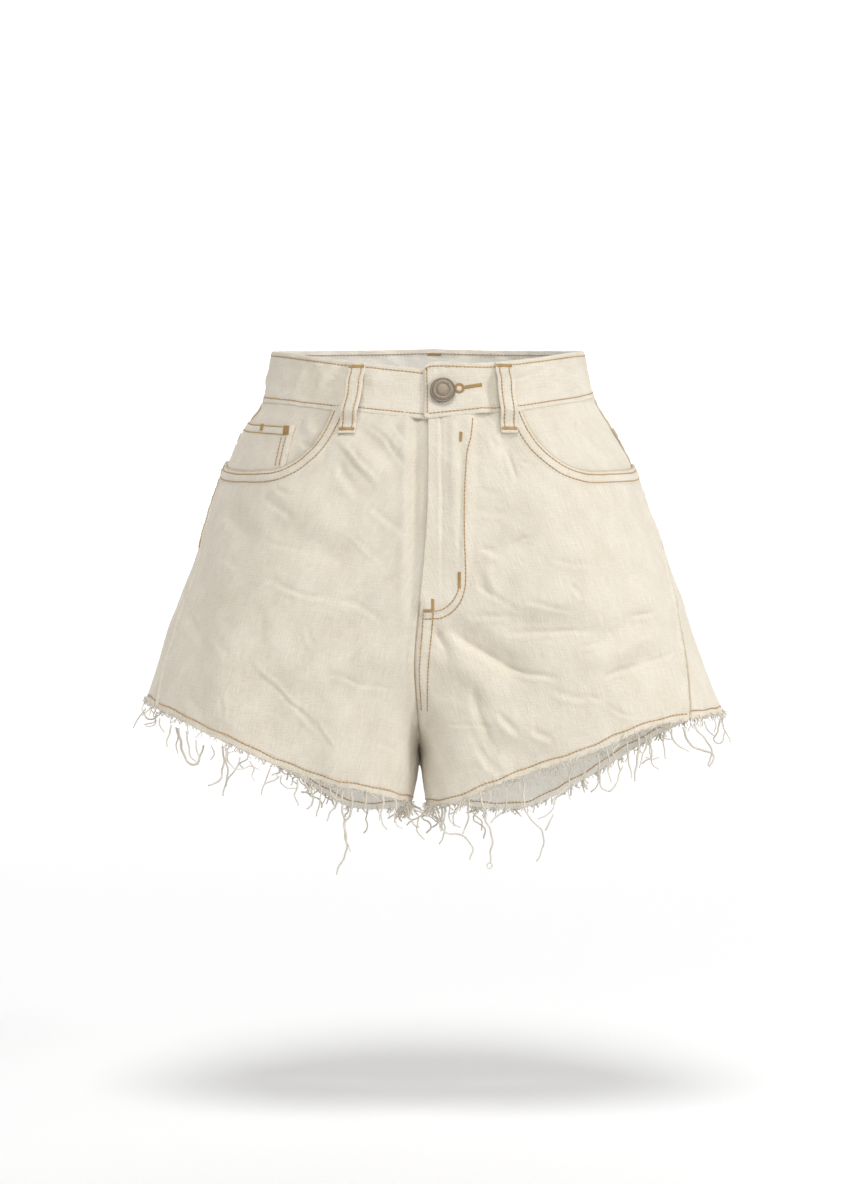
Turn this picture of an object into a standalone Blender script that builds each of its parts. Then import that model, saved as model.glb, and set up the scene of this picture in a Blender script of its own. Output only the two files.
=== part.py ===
"""Cut-off denim shorts with a high waist, five pockets and frayed hems, filled out as when worn.

Lengths in the tables are millimetres: x to the wearer's left, y to the back, z up, from the middle of
the waist opening. Objects are in metres. A place on the cloth is (side, p, z): side is -1 for the
wearer's right half and +1 for the left, p runs round the half from 0 at the front centre line (the
inseam, on a leg) through 0.5 at its outermost point to 1 at the back centre line, and z is the height.
"""
import math
import random
from collections import namedtuple

import bmesh
import bpy
import numpy as np

MM = 0.001
RIGHT, LEFT = -1, 1

# ---------------------------------------------------------------- driving dimensions, mm
CLOTH = 1.5              # thickness of one layer of denim
BAND_CLOTH = 2.4         # thickness of the doubled waistband
BAND_PROUD = 0.7         # the waistband's face above the panels' face
SEAM_GAP = 0.3           # between neighbouring pieces
PATCH_GAP = 0.9          # under a patch pocket, whose facets don't match the panel's
FORK_Z = -293.0          # height of the crotch point
FORK_Y = 12.0            # the crotch point, behind the middle
FRONT_TURN_Z = -203.0    # where the front centre line starts to curve under
BACK_TURN_Z = -168.0     # where the back centre line starts to curve under
LEG_SPREAD = 0.56        # far below the crotch the inseams part by this much for each mm down
SPREAD_SOFT = 22.0       # and they start to part over about this height
HALF_GIRTH = 640.0       # rough length round one half, for turning a gap into a step of p
CORNER_CUT = 0.8         # length round a rounded corner, as a share of the two sides it cuts off
WAIST_SHARE = 0.36       # share of a front panel's top edge that meets the waistband
FRONT_CELLS = (22, 18)   # facets across and down a front panel
BACK_CELLS = (19, 16)

# Level sections of the garment: reach to each side, front and back depth on the centre of each half,
# the squareness of the outer corners and of the corners by the inseam (2 is an ellipse), and how far
# from the centre line the flat middle of the front and the back extends.
Section = namedtuple("Section", "z right left front back corner inner_corner flat")
SECTIONS = (
    Section(z=40, right=124, left=121, front=-83, back=86, corner=2.25, inner_corner=2.4, flat=18),
    Section(z=5, right=130, left=126.5, front=-88, back=92, corner=2.25, inner_corner=2.4, flat=22),
    Section(z=-14, right=134.5, left=133, front=-92, back=97, corner=2.25, inner_corner=2.4, flat=26),
    Section(z=-31, right=146, left=144, front=-97, back=101, corner=2.2, inner_corner=2.4, flat=30),
    Section(z=-69, right=165, left=164, front=-106, back=112, corner=2.2, inner_corner=2.4, flat=42),
    Section(z=-107, right=179, left=180, front=-111, back=121, corner=2.2, inner_corner=2.6, flat=56),
    Section(z=-150, right=194, left=196, front=-113, back=125, corner=2.2, inner_corner=3.0, flat=70),
    Section(z=-200, right=212, left=213, front=-111, back=121, corner=2.25, inner_corner=3.6, flat=84),
    Section(z=-250, right=229, left=231, front=-107, back=112, corner=2.3, inner_corner=4.2, flat=97),
    Section(z=-300, right=247, left=249, front=-103, back=103, corner=2.3, inner_corner=4.5, flat=106),
    Section(z=-350, right=264, left=267, front=-100, back=96, corner=2.3, inner_corner=4.5, flat=110),
)

# Where the centre lines of the front and the back run.
Centre = namedtuple("Centre", "z front back")
CENTRES = (
    Centre(z=40, front=-2, back=3),
    Centre(z=-110, front=-2, back=1),
    Centre(z=-171, front=-7, back=-2),
    Centre(z=-220, front=-11, back=-5),
    Centre(z=-260, front=-9, back=-7),
    Centre(z=-293, front=-8, back=-8),
    Centre(z=-350, front=-8, back=-8),
)

# Height of the waistband's two edges round a half.
Band = namedtuple("Band", "p top right_seam left_seam")
BAND = (
    Band(p=0.0, top=6, right_seam=-31, left_seam=-31),
    Band(p=0.17, top=13, right_seam=-24, left_seam=-24),
    Band(p=0.34, top=22, right_seam=-16, left_seam=-14),
    Band(p=0.5, top=27, right_seam=-11, left_seam=-7),
    Band(p=0.75, top=33, right_seam=-5, left_seam=-4),
    Band(p=1.0, top=36, right_seam=-2, left_seam=-2),
)
OVERLAP_RISE = 5.0       # the buttoned end's top edge stands above the under end's

# Height of the cut hem, from the inseam (across 0) to the leg's outermost point (1), front and back.
Hem = namedtuple("Hem", "across right_front right_back left_front left_back")
HEM = (
    Hem(across=0.0, right_front=-328, right_back=-342, left_front=-331, left_back=-337),
    Hem(across=0.1, right_front=-321, right_back=-344, left_front=-326, left_back=-341),
    Hem(across=0.22, right_front=-315, right_back=-343, left_front=-313, left_back=-345),
    Hem(across=0.32, right_front=-309, right_back=-332, left_front=-304, left_back=-343),
    Hem(across=0.42, right_front=-301, right_back=-318, left_front=-296, left_back=-333),
    Hem(across=0.54, right_front=-290, right_back=-303, left_front=-286, left_back=-317),
    Hem(across=0.67, right_front=-276, right_back=-286, left_front=-271, left_back=-299),
    Hem(across=0.8, right_front=-263, right_back=-268, left_front=-264, left_back=-282),
    Hem(across=0.92, right_front=-254, right_back=-255, left_front=-260, left_back=-268),
    Hem(across=1.0, right_front=-250, right_back=-250, left_front=-260, left_back=-260),
)
HEM_LEVEL = -300.0

# Where the side seam runs: at the outermost point by the waist, turned forward at the hem.
Side = namedtuple("Side", "z right left")
SIDE_SEAM = (
    Side(z=40, right=0.5, left=0.5),
    Side(z=-80, right=0.5, left=0.5),
    Side(z=-150, right=0.488, left=0.475),
    Side(z=-270, right=0.452, left=0.42),
    Side(z=-350, right=0.44, left=0.41),
)

# Front pocket openings: a quarter ellipse from the waistband, then a gentle rise to the side seam.
Scoop = namedtuple("Scoop", "start_x lowest_x lowest_z end_z")
SCOOPS = {
    RIGHT: Scoop(start_x=-76, lowest_x=-127, lowest_z=-71, end_z=-61),
    LEFT: Scoop(start_x=71, lowest_x=123, lowest_z=-71, end_z=-63),
}
SCOOP_ROUND = 0.62       # share of the pocket edge that is the quarter ellipse

FACING_INSIDE_P = 0.03   # a facing reaches this far in under the front, past the scoop's start
FACING_BELOW = (14.0, 8.0)  # and this far below its lowest point, at the inner and the side edge

COIN_INNER_X = (-106.0, -113.0)  # the coin pocket's edge nearer the fly, at its top and bottom
COIN_TOP_Z = (-36.0, -25.0)      # its top edge, there and at the side seam
COIN_CLEAR = 1.2                 # its bottom stops this short of the scoop

YOKE_AT_SIDE = 34.0      # depth of the yoke at the side seam
YOKE_AT_BACK = 62.0      # and at the back centre

FLY_LIFT = 2.6           # the fly edge lies over the right front
FLY_WIDTH = 29.0         # from the fly edge to the J-stitch
FLY_BOTTOM_Z = -176.0
FLY_SOFT = 9.0           # over this width the lift dies away
FLY_LAYER = 1.2          # shield, zip tape, facings and patch pockets
SHIELD_P = 0.088         # p of the shield's far edge
ZIP_P = (0.006, 0.062)   # and of the zip tape's two edges

OVERLAP_END_X = -4.0      # where the waistband's buttoned end stops
UNDER_END_X = 33.0       # where the end below it stops
LAP_FULL_X = 36.0        # the waistband is level with its under end again from
LAP_STARTS_X = 49.0      # here on
LAP_GAP = 0.4            # between the two ends where they lie over each other

BUTTON_X = 10.0
BUTTON_Z = -12.0
BUTTON_RADIUS = 9.8
BUTTON_SHANK = 2.4
BUTTONHOLE_X = (6.0, 20.0)      # from and to on the overlapping end
BUTTONHOLE_SHARE = (0.47, 0.62)  # and between these shares of its height

# The largest folds, as soft ridges (height > 0) and troughs on the front or the back.
Fold = namedtuple("Fold", "face x1 z1 x2 z2 width height")
FOLDS = (
    # drag lines from the right front belt loop towards the fly
    Fold(face=-1, x1=-76, z1=-42, x2=-30, z2=-82, width=10, height=2.6),
    Fold(face=-1, x1=-62, z1=-34, x2=-20, z2=-70, width=7, height=-2.0),
    Fold(face=-1, x1=-48, z1=-34, x2=-10, z2=-66, width=8, height=1.8),
    # right leg front
    Fold(face=-1, x1=-132, z1=-84, x2=-60, z2=-124, width=14, height=2.6),
    Fold(face=-1, x1=-118, z1=-118, x2=-40, z2=-150, width=13, height=-2.0),
    Fold(face=-1, x1=-158, z1=-92, x2=-136, z2=-134, width=10, height=-3.2),
    Fold(face=-1, x1=-172, z1=-128, x2=-190, z2=-236, width=13, height=-4.0),
    Fold(face=-1, x1=-148, z1=-190, x2=-170, z2=-276, width=13, height=3.4),
    Fold(face=-1, x1=-112, z1=-215, x2=-126, z2=-300, width=13, height=-3.0),
    Fold(face=-1, x1=-64, z1=-236, x2=-80, z2=-318, width=14, height=3.0),
    Fold(face=-1, x1=-14, z1=-182, x2=-96, z2=-200, width=11, height=-2.2),
    Fold(face=-1, x1=-24, z1=-206, x2=-80, z2=-234, width=12, height=2.0),
    # creases that run out from the foot of the fly over the left leg front
    Fold(face=-1, x1=2, z1=-182, x2=84, z2=-236, width=9, height=-5.0),
    Fold(face=-1, x1=2, z1=-198, x2=60, z2=-254, width=11, height=4.0),
    Fold(face=-1, x1=0, z1=-186, x2=18, z2=-224, width=6, height=-3.4),
    Fold(face=-1, x1=46, z1=-192, x2=128, z2=-190, width=9, height=-3.0),
    Fold(face=-1, x1=40, z1=-176, x2=130, z2=-170, width=9, height=2.4),
    Fold(face=-1, x1=104, z1=-210, x2=180, z2=-180, width=10, height=-3.0),
    Fold(face=-1, x1=126, z1=-238, x2=194, z2=-204, width=10, height=-3.0),
    Fold(face=-1, x1=110, z1=-224, x2=184, z2=-194, width=9, height=2.2),
    Fold(face=-1, x1=36, z1=-258, x2=108, z2=-282, width=12, height=2.2),
    Fold(face=-1, x1=30, z1=-278, x2=92, z2=-300, width=11, height=-1.6),
    Fold(face=-1, x1=38, z1=-132, x2=82, z2=-122, width=8, height=-2.6),
    Fold(face=-1, x1=52, z1=-44, x2=72, z2=-70, width=9, height=-2.6),
    # below the seat, and from the seat to the side seams
    Fold(face=1, x1=-24, z1=-218, x2=-124, z2=-262, width=13, height=-4.6),
    Fold(face=1, x1=22, z1=-222, x2=128, z2=-258, width=13, height=-4.6),
    Fold(face=1, x1=-34, z1=-250, x2=-154, z2=-288, width=14, height=3.6),
    Fold(face=1, x1=30, z1=-252, x2=154, z2=-284, width=14, height=3.6),
    Fold(face=1, x1=-12, z1=-92, x2=-22, z2=-184, width=10, height=-2.8),
    Fold(face=1, x1=14, z1=-96, x2=24, z2=-188, width=10, height=-2.6),
)

# Belt loops, tacked near the waistband's top edge and on the panel below it; x at either end.
Loop = namedtuple("Loop", "name side face top_x bottom_x")
BELT_LOOPS = (
    Loop(name="belt_loop_front_right", side=RIGHT, face=-1, top_x=-56, bottom_x=-64),
    Loop(name="belt_loop_front_left", side=LEFT, face=-1, top_x=57, bottom_x=61),
    Loop(name="belt_loop_back_right", side=RIGHT, face=1, top_x=-66, bottom_x=-71),
    Loop(name="belt_loop_back_left", side=LEFT, face=1, top_x=68, bottom_x=73),
    Loop(name="belt_loop_centre_back", side=LEFT, face=1, top_x=3.2, bottom_x=3.2),
)
LOOP_WIDTH = 13.0
LOOP_CLOTH = 2.0
LOOP_GAP = 0.6           # at its tacked ends, since the cloth below curves away
LOOP_LENGTH = 54.0
LOOP_BELOW_TOP = 0.6     # its top end below the waistband's top edge
LOOP_STANDS = 7.0        # clear height under a loop for the belt

# Back patch pockets, placed by the edge nearer the back centre and cut to these widths.
POCKET_INNER_X = (52.0, 62.0)    # that edge's top and bottom
POCKET_WIDTH = (150.0, 128.0)    # over the cloth, at the top and at the bottom
POCKET_TOP_Z = -84.0
POCKET_TILT = 5.0        # its outer top corner lies this much above the inner one
POCKET_DEPTH = 122.0
POCKET_POINT = 17.0      # the bottom's middle hangs below its corners

# Threads of the frayed hems: two to each facet of the front's edge and one to each of the back's. The
# long ones swing away from the inseam (sideways > 0 on the front, < 0 on the back) and off the leg.
FRINGE_THICK = 0.9
FRINGE_TALL = 2.2
FRONT_THREADS = (0.27, 0.73)
BACK_THREADS = (0.5,)
SHORT_THREAD = (5.0, 15.0)
BESIDE_LONG = 4.0        # length of the threads on both sides of one that swings far
Thread = namedtuple("Thread", "side face x down sideways out")
LONG_THREADS = (
    Thread(side=RIGHT, face=-1, x=-226, down=13, sideways=4, out=1),
    Thread(side=RIGHT, face=-1, x=-203, down=19, sideways=0, out=2),
    Thread(side=RIGHT, face=-1, x=-187, down=25, sideways=-2, out=1),
    Thread(side=RIGHT, face=-1, x=-176, down=22, sideways=2, out=2),
    Thread(side=RIGHT, face=-1, x=-164, down=33, sideways=-3, out=2),
    Thread(side=RIGHT, face=-1, x=-127, down=21, sideways=2, out=2),
    Thread(side=RIGHT, face=-1, x=-100, down=16, sideways=-2, out=1),
    Thread(side=RIGHT, face=1, x=-72, down=55, sideways=-4, out=2),
    Thread(side=RIGHT, face=1, x=-62, down=26, sideways=-4, out=1),
    Thread(side=RIGHT, face=1, x=-38, down=21, sideways=2, out=2),
    Thread(side=RIGHT, face=1, x=-150, down=28, sideways=3, out=2),
    Thread(side=RIGHT, face=1, x=-205, down=24, sideways=-3, out=3),
    Thread(side=LEFT, face=-1, x=14, down=40, sideways=9, out=5),
    Thread(side=LEFT, face=-1, x=34, down=24, sideways=-2, out=1),
    Thread(side=LEFT, face=1, x=46, down=50, sideways=-4, out=3),
    Thread(side=LEFT, face=1, x=79, down=43, sideways=-7, out=4),
    Thread(side=LEFT, face=1, x=104, down=21, sideways=4, out=2),
    Thread(side=LEFT, face=1, x=150, down=18, sideways=2, out=1),
    Thread(side=LEFT, face=1, x=170, down=22, sideways=-2, out=2),
    Thread(side=LEFT, face=1, x=192, down=20, sideways=3, out=1),
    Thread(side=LEFT, face=-1, x=203, down=27, sideways=8, out=5),
    Thread(side=LEFT, face=-1, x=228, down=12, sideways=3, out=2),
    Thread(side=LEFT, face=-1, x=120, down=15, sideways=-2, out=1),
)

ECRU = (0.78, 0.74, 0.62)
ECRU_SHADE = (0.72, 0.68, 0.57)
THREAD_WHITE = (0.86, 0.83, 0.74)
ZIP_TAPE = (0.62, 0.57, 0.46)
SILVER = (0.46, 0.44, 0.41)


# ---------------------------------------------------------------- smooth functions of the tables
def smooth_curve(knots, values):
    """A smooth function through the given points, straight beyond its ends."""
    order = np.argsort(knots)
    knots = np.asarray(knots, float)[order]
    values = np.asarray(values, float)[order]
    slopes = np.gradient(values, knots)

    def at(place):
        place = np.asarray(place, float)
        cell = np.clip(np.searchsorted(knots, place) - 1, 0, len(knots) - 2)
        span = knots[cell + 1] - knots[cell]
        share = (place - knots[cell]) / span
        h = np.clip(share, 0, 1)
        rise = h * h * (3 - 2 * h)
        value = values[cell] * (1 - rise) + values[cell + 1] * rise
        value = value + span * h * (1 - h) * ((1 - h) * slopes[cell] - h * slopes[cell + 1])
        beyond = (share - h) * span
        return value + beyond * np.where(share < 0, slopes[cell], slopes[cell + 1])

    return at


def column(rows, key, name):
    return smooth_curve([getattr(row, key) for row in rows], [getattr(row, name) for row in rows])


def smooth_step(value):
    value = np.clip(value, 0, 1)
    return value * value * (3 - 2 * value)


REACH = {RIGHT: column(SECTIONS, "z", "right"), LEFT: column(SECTIONS, "z", "left")}
FRONT = column(SECTIONS, "z", "front")
BACK = column(SECTIONS, "z", "back")
CORNER = column(SECTIONS, "z", "corner")
INNER_CORNER = column(SECTIONS, "z", "inner_corner")
FLAT = column(SECTIONS, "z", "flat")
CENTRE_FRONT = column(CENTRES, "z", "front")
CENTRE_BACK = column(CENTRES, "z", "back")
BAND_TOP = column(BAND, "p", "top")
WAIST_SEAM = {RIGHT: column(BAND, "p", "right_seam"), LEFT: column(BAND, "p", "left_seam")}
HEM_FRONT = {RIGHT: column(HEM, "across", "right_front"), LEFT: column(HEM, "across", "left_front")}
HEM_BACK = {RIGHT: column(HEM, "across", "right_back"), LEFT: column(HEM, "across", "left_back")}
SIDE_P = {RIGHT: column(SIDE_SEAM, "z", "right"), LEFT: column(SIDE_SEAM, "z", "left")}


# ---------------------------------------------------------------- the garment's form
def crotch_share(z, turn_z):
    """1 above the crotch curve, falling along a quarter ellipse to 0 at the crotch point."""
    below = np.clip((turn_z - z) / (turn_z - FORK_Z), 0, 1)
    return np.sqrt(np.clip(1 - below * below, 0, 1))


def corner_point(angle, squareness):
    """A point of a rounded square of half-width 1, in the direction of the angle."""
    c = np.abs(np.cos(angle))
    s = np.abs(np.sin(angle))
    radius = (c ** squareness + s ** squareness) ** (-1 / squareness)
    return radius * c, radius * s


def form(side, p, z):
    """The outer face of the smooth, unfolded garment, as an array of points."""
    p, z = np.broadcast_arrays(np.asarray(p, float), np.asarray(z, float))
    is_back = p > 0.5
    along = np.clip(np.where(is_back, 1 - p, p) * 2, 0, 1)
    depth = np.where(is_back, BACK(z), FRONT(z))
    share = np.where(is_back, crotch_share(z, BACK_TURN_Z), crotch_share(z, FRONT_TURN_Z))
    below = np.clip(FORK_Z - z, 0, None)
    parted = LEG_SPREAD / 2 * below ** 2 / (below + SPREAD_SOFT)
    centre = np.where(is_back, CENTRE_BACK(z), CENTRE_FRONT(z))
    flat = FLAT(z)
    reach = REACH[side](z)
    inner = INNER_CORNER(z)

    inner_length = flat + CORNER_CUT * (1 - share ** 4) * np.abs(depth - FORK_Y)
    outer_length = CORNER_CUT * (reach - flat + np.abs(depth))
    split = inner_length / (inner_length + outer_length)

    cut = np.clip((1 - share ** inner), 1e-9, 1) ** (1 / inner)
    start = np.arctan2(share, cut)
    inner_share = np.clip(along / split, 0, 1)
    crowding = 1 + 3 * (1 - start / (math.pi / 2)) ** 2
    angle = math.pi / 2 * inner_share + start * (1 - inner_share) ** crowding
    run, rise = corner_point(angle, inner)
    x_inner = centre + side * (flat * (cut - run) / cut + parted * (1 - inner_share) ** 2)
    y_inner = FORK_Y + (depth - FORK_Y) * rise

    angle = math.pi / 2 * (1 - np.clip((along - split) / (1 - split), 0, 1))
    run, rise = corner_point(angle, CORNER(z))
    edge = centre + side * flat
    x_outer = edge + (side * reach - edge) * run
    y_outer = depth * rise

    is_inner = along < split
    x = np.where(is_inner, x_inner, x_outer)
    y = np.where(is_inner, y_inner, y_outer)
    return np.stack([x, y, z], axis=-1)


def outward(side, p, z):
    """The form's unit normal, pointing away from the body."""
    dp, dz = 0.004, 1.0
    low_p = np.clip(p - dp, 0, 1)
    high_p = np.clip(p + dp, 0, 1)
    round_it = form(side, high_p, z) - form(side, low_p, z)
    down_it = form(side, p, z - dz) - form(side, p, z + dz)
    normal = -side * np.cross(round_it, down_it)
    return normal / np.linalg.norm(normal, axis=-1, keepdims=True)


def fold_height(points, normal):
    """The folds' ridges and troughs, measured out from the form; flat on the leg's inner side."""
    x, y, z = points[..., 0], points[..., 1], points[..., 2]
    total = np.zeros_like(x)
    towards = smooth_step((np.abs(normal[..., 1]) - 0.2) / 0.5)
    for fold in FOLDS:
        run = np.array([fold.x2 - fold.x1, fold.z2 - fold.z1])
        length = np.hypot(*run)
        run = run / length
        along = (x - fold.x1) * run[0] + (z - fold.z1) * run[1]
        across = (x - fold.x1) * run[1] - (z - fold.z1) * run[0]
        fade = smooth_step(along / (0.35 * length)) * smooth_step((length - along) / (0.35 * length))
        on_face = towards * (fold.face * y > 0)
        total += fold.height * fade * np.exp(-(across / fold.width) ** 2) * on_face
    return total


def fly_lift(side, points):
    """The left front rises where it lies over the right front, down to the foot of the fly."""
    x, y, z = points[..., 0], points[..., 1], points[..., 2]
    if side == RIGHT:
        return np.zeros_like(x)
    across = x - CENTRE_FRONT(z)
    corner = FLY_WIDTH
    below = np.clip(FLY_BOTTOM_Z + corner - z, 0, None)
    reach = np.hypot(np.clip(across, 0, None), below)
    lift = smooth_step((corner + FLY_SOFT - reach) / FLY_SOFT)
    return FLY_LIFT * lift * (y < 0)


def cloth(side, p, z, out=0.0):
    """Points of the garment with its folds, moved out along the form's normal."""
    points = form(side, p, z)
    normal = outward(side, p, z)
    height = fold_height(points, normal) + fly_lift(side, points) + out
    return points + normal * height[..., None]


def p_at(side, face, x, z):
    """Place round a half where the front (face -1) or the back (face 1) passes x."""
    places = np.linspace(0, 0.5, 400)
    if face > 0:
        places = 1 - places
    reached = side * form(side, places, z)[:, 0]
    return float(np.interp(side * x, reached, places))


def hem_height(side, p):
    """Height of the cut edge at a place round a leg."""
    points = form(side, p, HEM_LEVEL)
    inseam_x = side * form(side, 0.0, HEM_LEVEL)[0]
    across = (side * points[..., 0] - inseam_x) / (REACH[side](HEM_LEVEL) - inseam_x)
    front_y, back_y = FRONT(HEM_LEVEL), BACK(HEM_LEVEL)
    towards_back = smooth_step((points[..., 1] - front_y) / (back_y - front_y))
    return (1 - towards_back) * HEM_FRONT[side](across) + towards_back * HEM_BACK[side](across)


def step_of_p(length):
    return length / HALF_GIRTH


def seam_step():
    return step_of_p(SEAM_GAP / 2)


# ---------------------------------------------------------------- outlines of the pieces
def centre_heights(face, top_z, hem_z, steps):
    """Heights down a centre line and the inseam, evenly spaced along the cloth."""
    depth, turn_z = (FRONT, FRONT_TURN_Z) if face < 0 else (BACK, BACK_TURN_Z)
    fine = np.linspace(0, 1, 4000)
    fork = (top_z - FORK_Z) / (top_z - hem_z)
    z = np.where(fine < fork, top_z + (FORK_Z - top_z) * np.sin(fine / fork * math.pi / 2), 0)
    z = np.where(fine < fork, z, FORK_Z + (hem_z - FORK_Z) * (fine - fork) / (1 - fork))
    y = FORK_Y + (depth(z) - FORK_Y) * crotch_share(z, turn_z)
    walked = np.concatenate([[0], np.cumsum(np.hypot(np.diff(z), np.diff(y)))])
    return np.interp(np.asarray(steps) * walked[-1], walked, z)


def fill(side, face, top_p, top_z, bottom_p, steps):
    """The grid of (p, z) between a piece's top edge and the hem; column 0 lies on the centre line."""
    rows = np.asarray(steps)[:, None]
    bottom_z = hem_height(side, bottom_p)
    p = (1 - rows) * top_p + rows * bottom_p
    z = (1 - rows) * top_z + rows * bottom_z
    even = (1 - rows) * top_z[0] + rows * bottom_z[0]
    uneven = centre_heights(face, top_z[0], bottom_z[0], steps)[:, None]
    near_centre = 1 - np.linspace(0, 1, len(top_p))
    z = z + (uneven - even) * near_centre ** 3
    seam = SIDE_P[side](z[:, -1])
    seam = seam + face * seam_step()
    p = p + (seam - p[:, -1])[:, None] * (1 - near_centre) ** 2
    return p, z


def scoop_start(side):
    return p_at(side, -1, SCOOPS[side].start_x, -24)


def scoop_edge(side, share):
    """A pocket opening's edge: (p, z) at shares 0 to 1 of the way to the side seam."""
    scoop = SCOOPS[side]
    start = scoop_start(side)
    lowest = p_at(side, -1, scoop.lowest_x, scoop.lowest_z)
    top_z = WAIST_SEAM[side](start) - SEAM_GAP / 2
    angle = math.pi / 2 * np.clip(share / SCOOP_ROUND, 0, 1)
    rest = np.clip((share - SCOOP_ROUND) / (1 - SCOOP_ROUND), 0, 1)
    end = SIDE_P[side](scoop.end_z) - seam_step()
    p = start + (lowest - start) * (1 - np.cos(angle)) + (end - lowest) * rest
    z = top_z + (scoop.lowest_z - top_z) * np.sin(angle) + (scoop.end_z - scoop.lowest_z) * rest ** 2
    return p, z


def front_outline(side, across, down):
    """(p, z) grid of a front panel, whose top edge follows the waistband and then the pocket."""
    share = np.linspace(0, 1, across + 1)
    waist_p = seam_step() + (scoop_start(side) - seam_step()) * np.clip(share / WAIST_SHARE, 0, 1)
    waist_z = WAIST_SEAM[side](waist_p) - SEAM_GAP / 2
    scoop_p, scoop_z = scoop_edge(side, np.clip((share - WAIST_SHARE) / (1 - WAIST_SHARE), 0, 1))
    top_p = np.where(share <= WAIST_SHARE, waist_p, scoop_p)
    top_z = np.where(share <= WAIST_SHARE, waist_z, scoop_z)
    hem_side = SIDE_P[side](hem_height(side, 0.45)) - seam_step()
    bottom_p = seam_step() + (hem_side - seam_step()) * share
    return fill(side, -1, top_p, top_z, bottom_p, np.linspace(0, 1, down + 1))


def yoke_seam(side, p):
    """Height of the seam below the yoke."""
    share = (p - 0.5) / 0.5
    return WAIST_SEAM[side](p) - YOKE_AT_SIDE - (YOKE_AT_BACK - YOKE_AT_SIDE) * share


def back_outline(side, across, down):
    """(p, z) grid of a back panel, from the back centre line to the side seam."""
    share = np.linspace(0, 1, across + 1)
    top_p = 1 - seam_step() - (0.5 - 2 * seam_step()) * share
    top_z = yoke_seam(side, top_p) - SEAM_GAP / 2
    hem_side = SIDE_P[side](hem_height(side, 0.45)) + seam_step()
    bottom_p = 1 - seam_step() - (1 - hem_side - seam_step()) * share
    return fill(side, 1, top_p, top_z, bottom_p, np.linspace(0, 1, down + 1))


# ---------------------------------------------------------------- solids
def add_object(name, mesh, colour, roughness=0.9, metallic=0.0):
    material = bpy.data.materials.new(name)
    material.use_nodes = True
    shader = material.node_tree.nodes["Principled BSDF"]
    shader.inputs["Base Color"].default_value = (*colour, 1)
    shader.inputs["Roughness"].default_value = roughness
    shader.inputs["Metallic"].default_value = metallic
    mesh.materials.append(material)
    mesh.shade_smooth()
    mesh.set_sharp_from_angle(angle=math.radians(40))
    made = bpy.data.objects.new(name, mesh)
    bpy.context.scene.collection.objects.link(made)
    return made


def closed_mesh(name, points, faces):
    """A mesh in metres from points in mm, its faces turned outward."""
    mesh = bpy.data.meshes.new(name)
    mesh.from_pydata((np.asarray(points) * MM).tolist(), [], faces)
    work = bmesh.new()
    work.from_mesh(mesh)
    bmesh.ops.recalc_face_normals(work, faces=work.faces)
    work.to_mesh(mesh)
    work.free()
    return mesh


def wall(name, outer, inner, colour, holes=()):
    """A closed solid between two grids of points; holes are (row, column) cells left open."""
    rows, columns = outer.shape[:2]
    points = np.concatenate([outer.reshape(-1, 3), inner.reshape(-1, 3)])
    behind = rows * columns
    cells = [(r, c) for r in range(rows - 1) for c in range(columns - 1) if (r, c) not in holes]
    faces = []
    edges = {}
    for r, c in cells:
        corners = [r * columns + c, r * columns + c + 1, (r + 1) * columns + c + 1, (r + 1) * columns + c]
        faces.append(corners)
        faces.append([behind + corner for corner in reversed(corners)])
        for start, end in zip(corners, corners[1:] + corners[:1]):
            if (end, start) in edges:
                del edges[(end, start)]
            else:
                edges[(start, end)] = True
    for start, end in edges:
        faces.append([end, start, behind + start, behind + end])
    used = sorted({corner for face in faces for corner in face})
    place = {corner: number for number, corner in enumerate(used)}
    faces = [[place[corner] for corner in face] for face in faces]
    return add_object(name, closed_mesh(name, points[used], faces), colour)


def cloth_wall(name, side, p, z, colour, out=0.0, thick=CLOTH):
    outer = cloth(side, p, z, out)
    inner = cloth(side, p, z, out - thick)
    return wall(name, outer, inner, colour)


def side_name(stem, side):
    return f"{stem}_{'left' if side == LEFT else 'right'}"


def add_panels():
    for side in (RIGHT, LEFT):
        cloth_wall(side_name("front", side), side, *front_outline(side, *FRONT_CELLS), ECRU)
        cloth_wall(side_name("back", side), side, *back_outline(side, *BACK_CELLS), ECRU)


def add_yokes():
    for side in (RIGHT, LEFT):
        p = np.linspace(0.5 + seam_step(), 1 - seam_step(), 13)
        rows = np.linspace(0, 1, 4)[:, None]
        top = WAIST_SEAM[side](p) - SEAM_GAP / 2
        bottom = yoke_seam(side, p) + SEAM_GAP / 2
        z = top + (bottom - top) * rows
        cloth_wall(side_name("yoke", side), side, np.broadcast_to(p, z.shape), z, ECRU)


def add_pocket_facings():
    """The cloth that shows in the front pocket openings, just behind the fronts."""
    behind = -(CLOTH + PATCH_GAP)
    for side in (RIGHT, LEFT):
        share = np.linspace(0, 1, 10)
        rows = np.linspace(0, 1, 6)[:, None]
        start = scoop_start(side) - FACING_INSIDE_P
        p = start + (0.5 - seam_step() - start) * share
        top = WAIST_SEAM[side](p) - SEAM_GAP / 2
        bottom = SCOOPS[side].lowest_z - FACING_BELOW[0] + (FACING_BELOW[0] - FACING_BELOW[1]) * share
        z = top + (bottom - top) * rows
        name = side_name("pocket_facing", side)
        cloth_wall(name, side, np.broadcast_to(p, z.shape), z, ECRU_SHADE, behind, FLY_LAYER)


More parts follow.
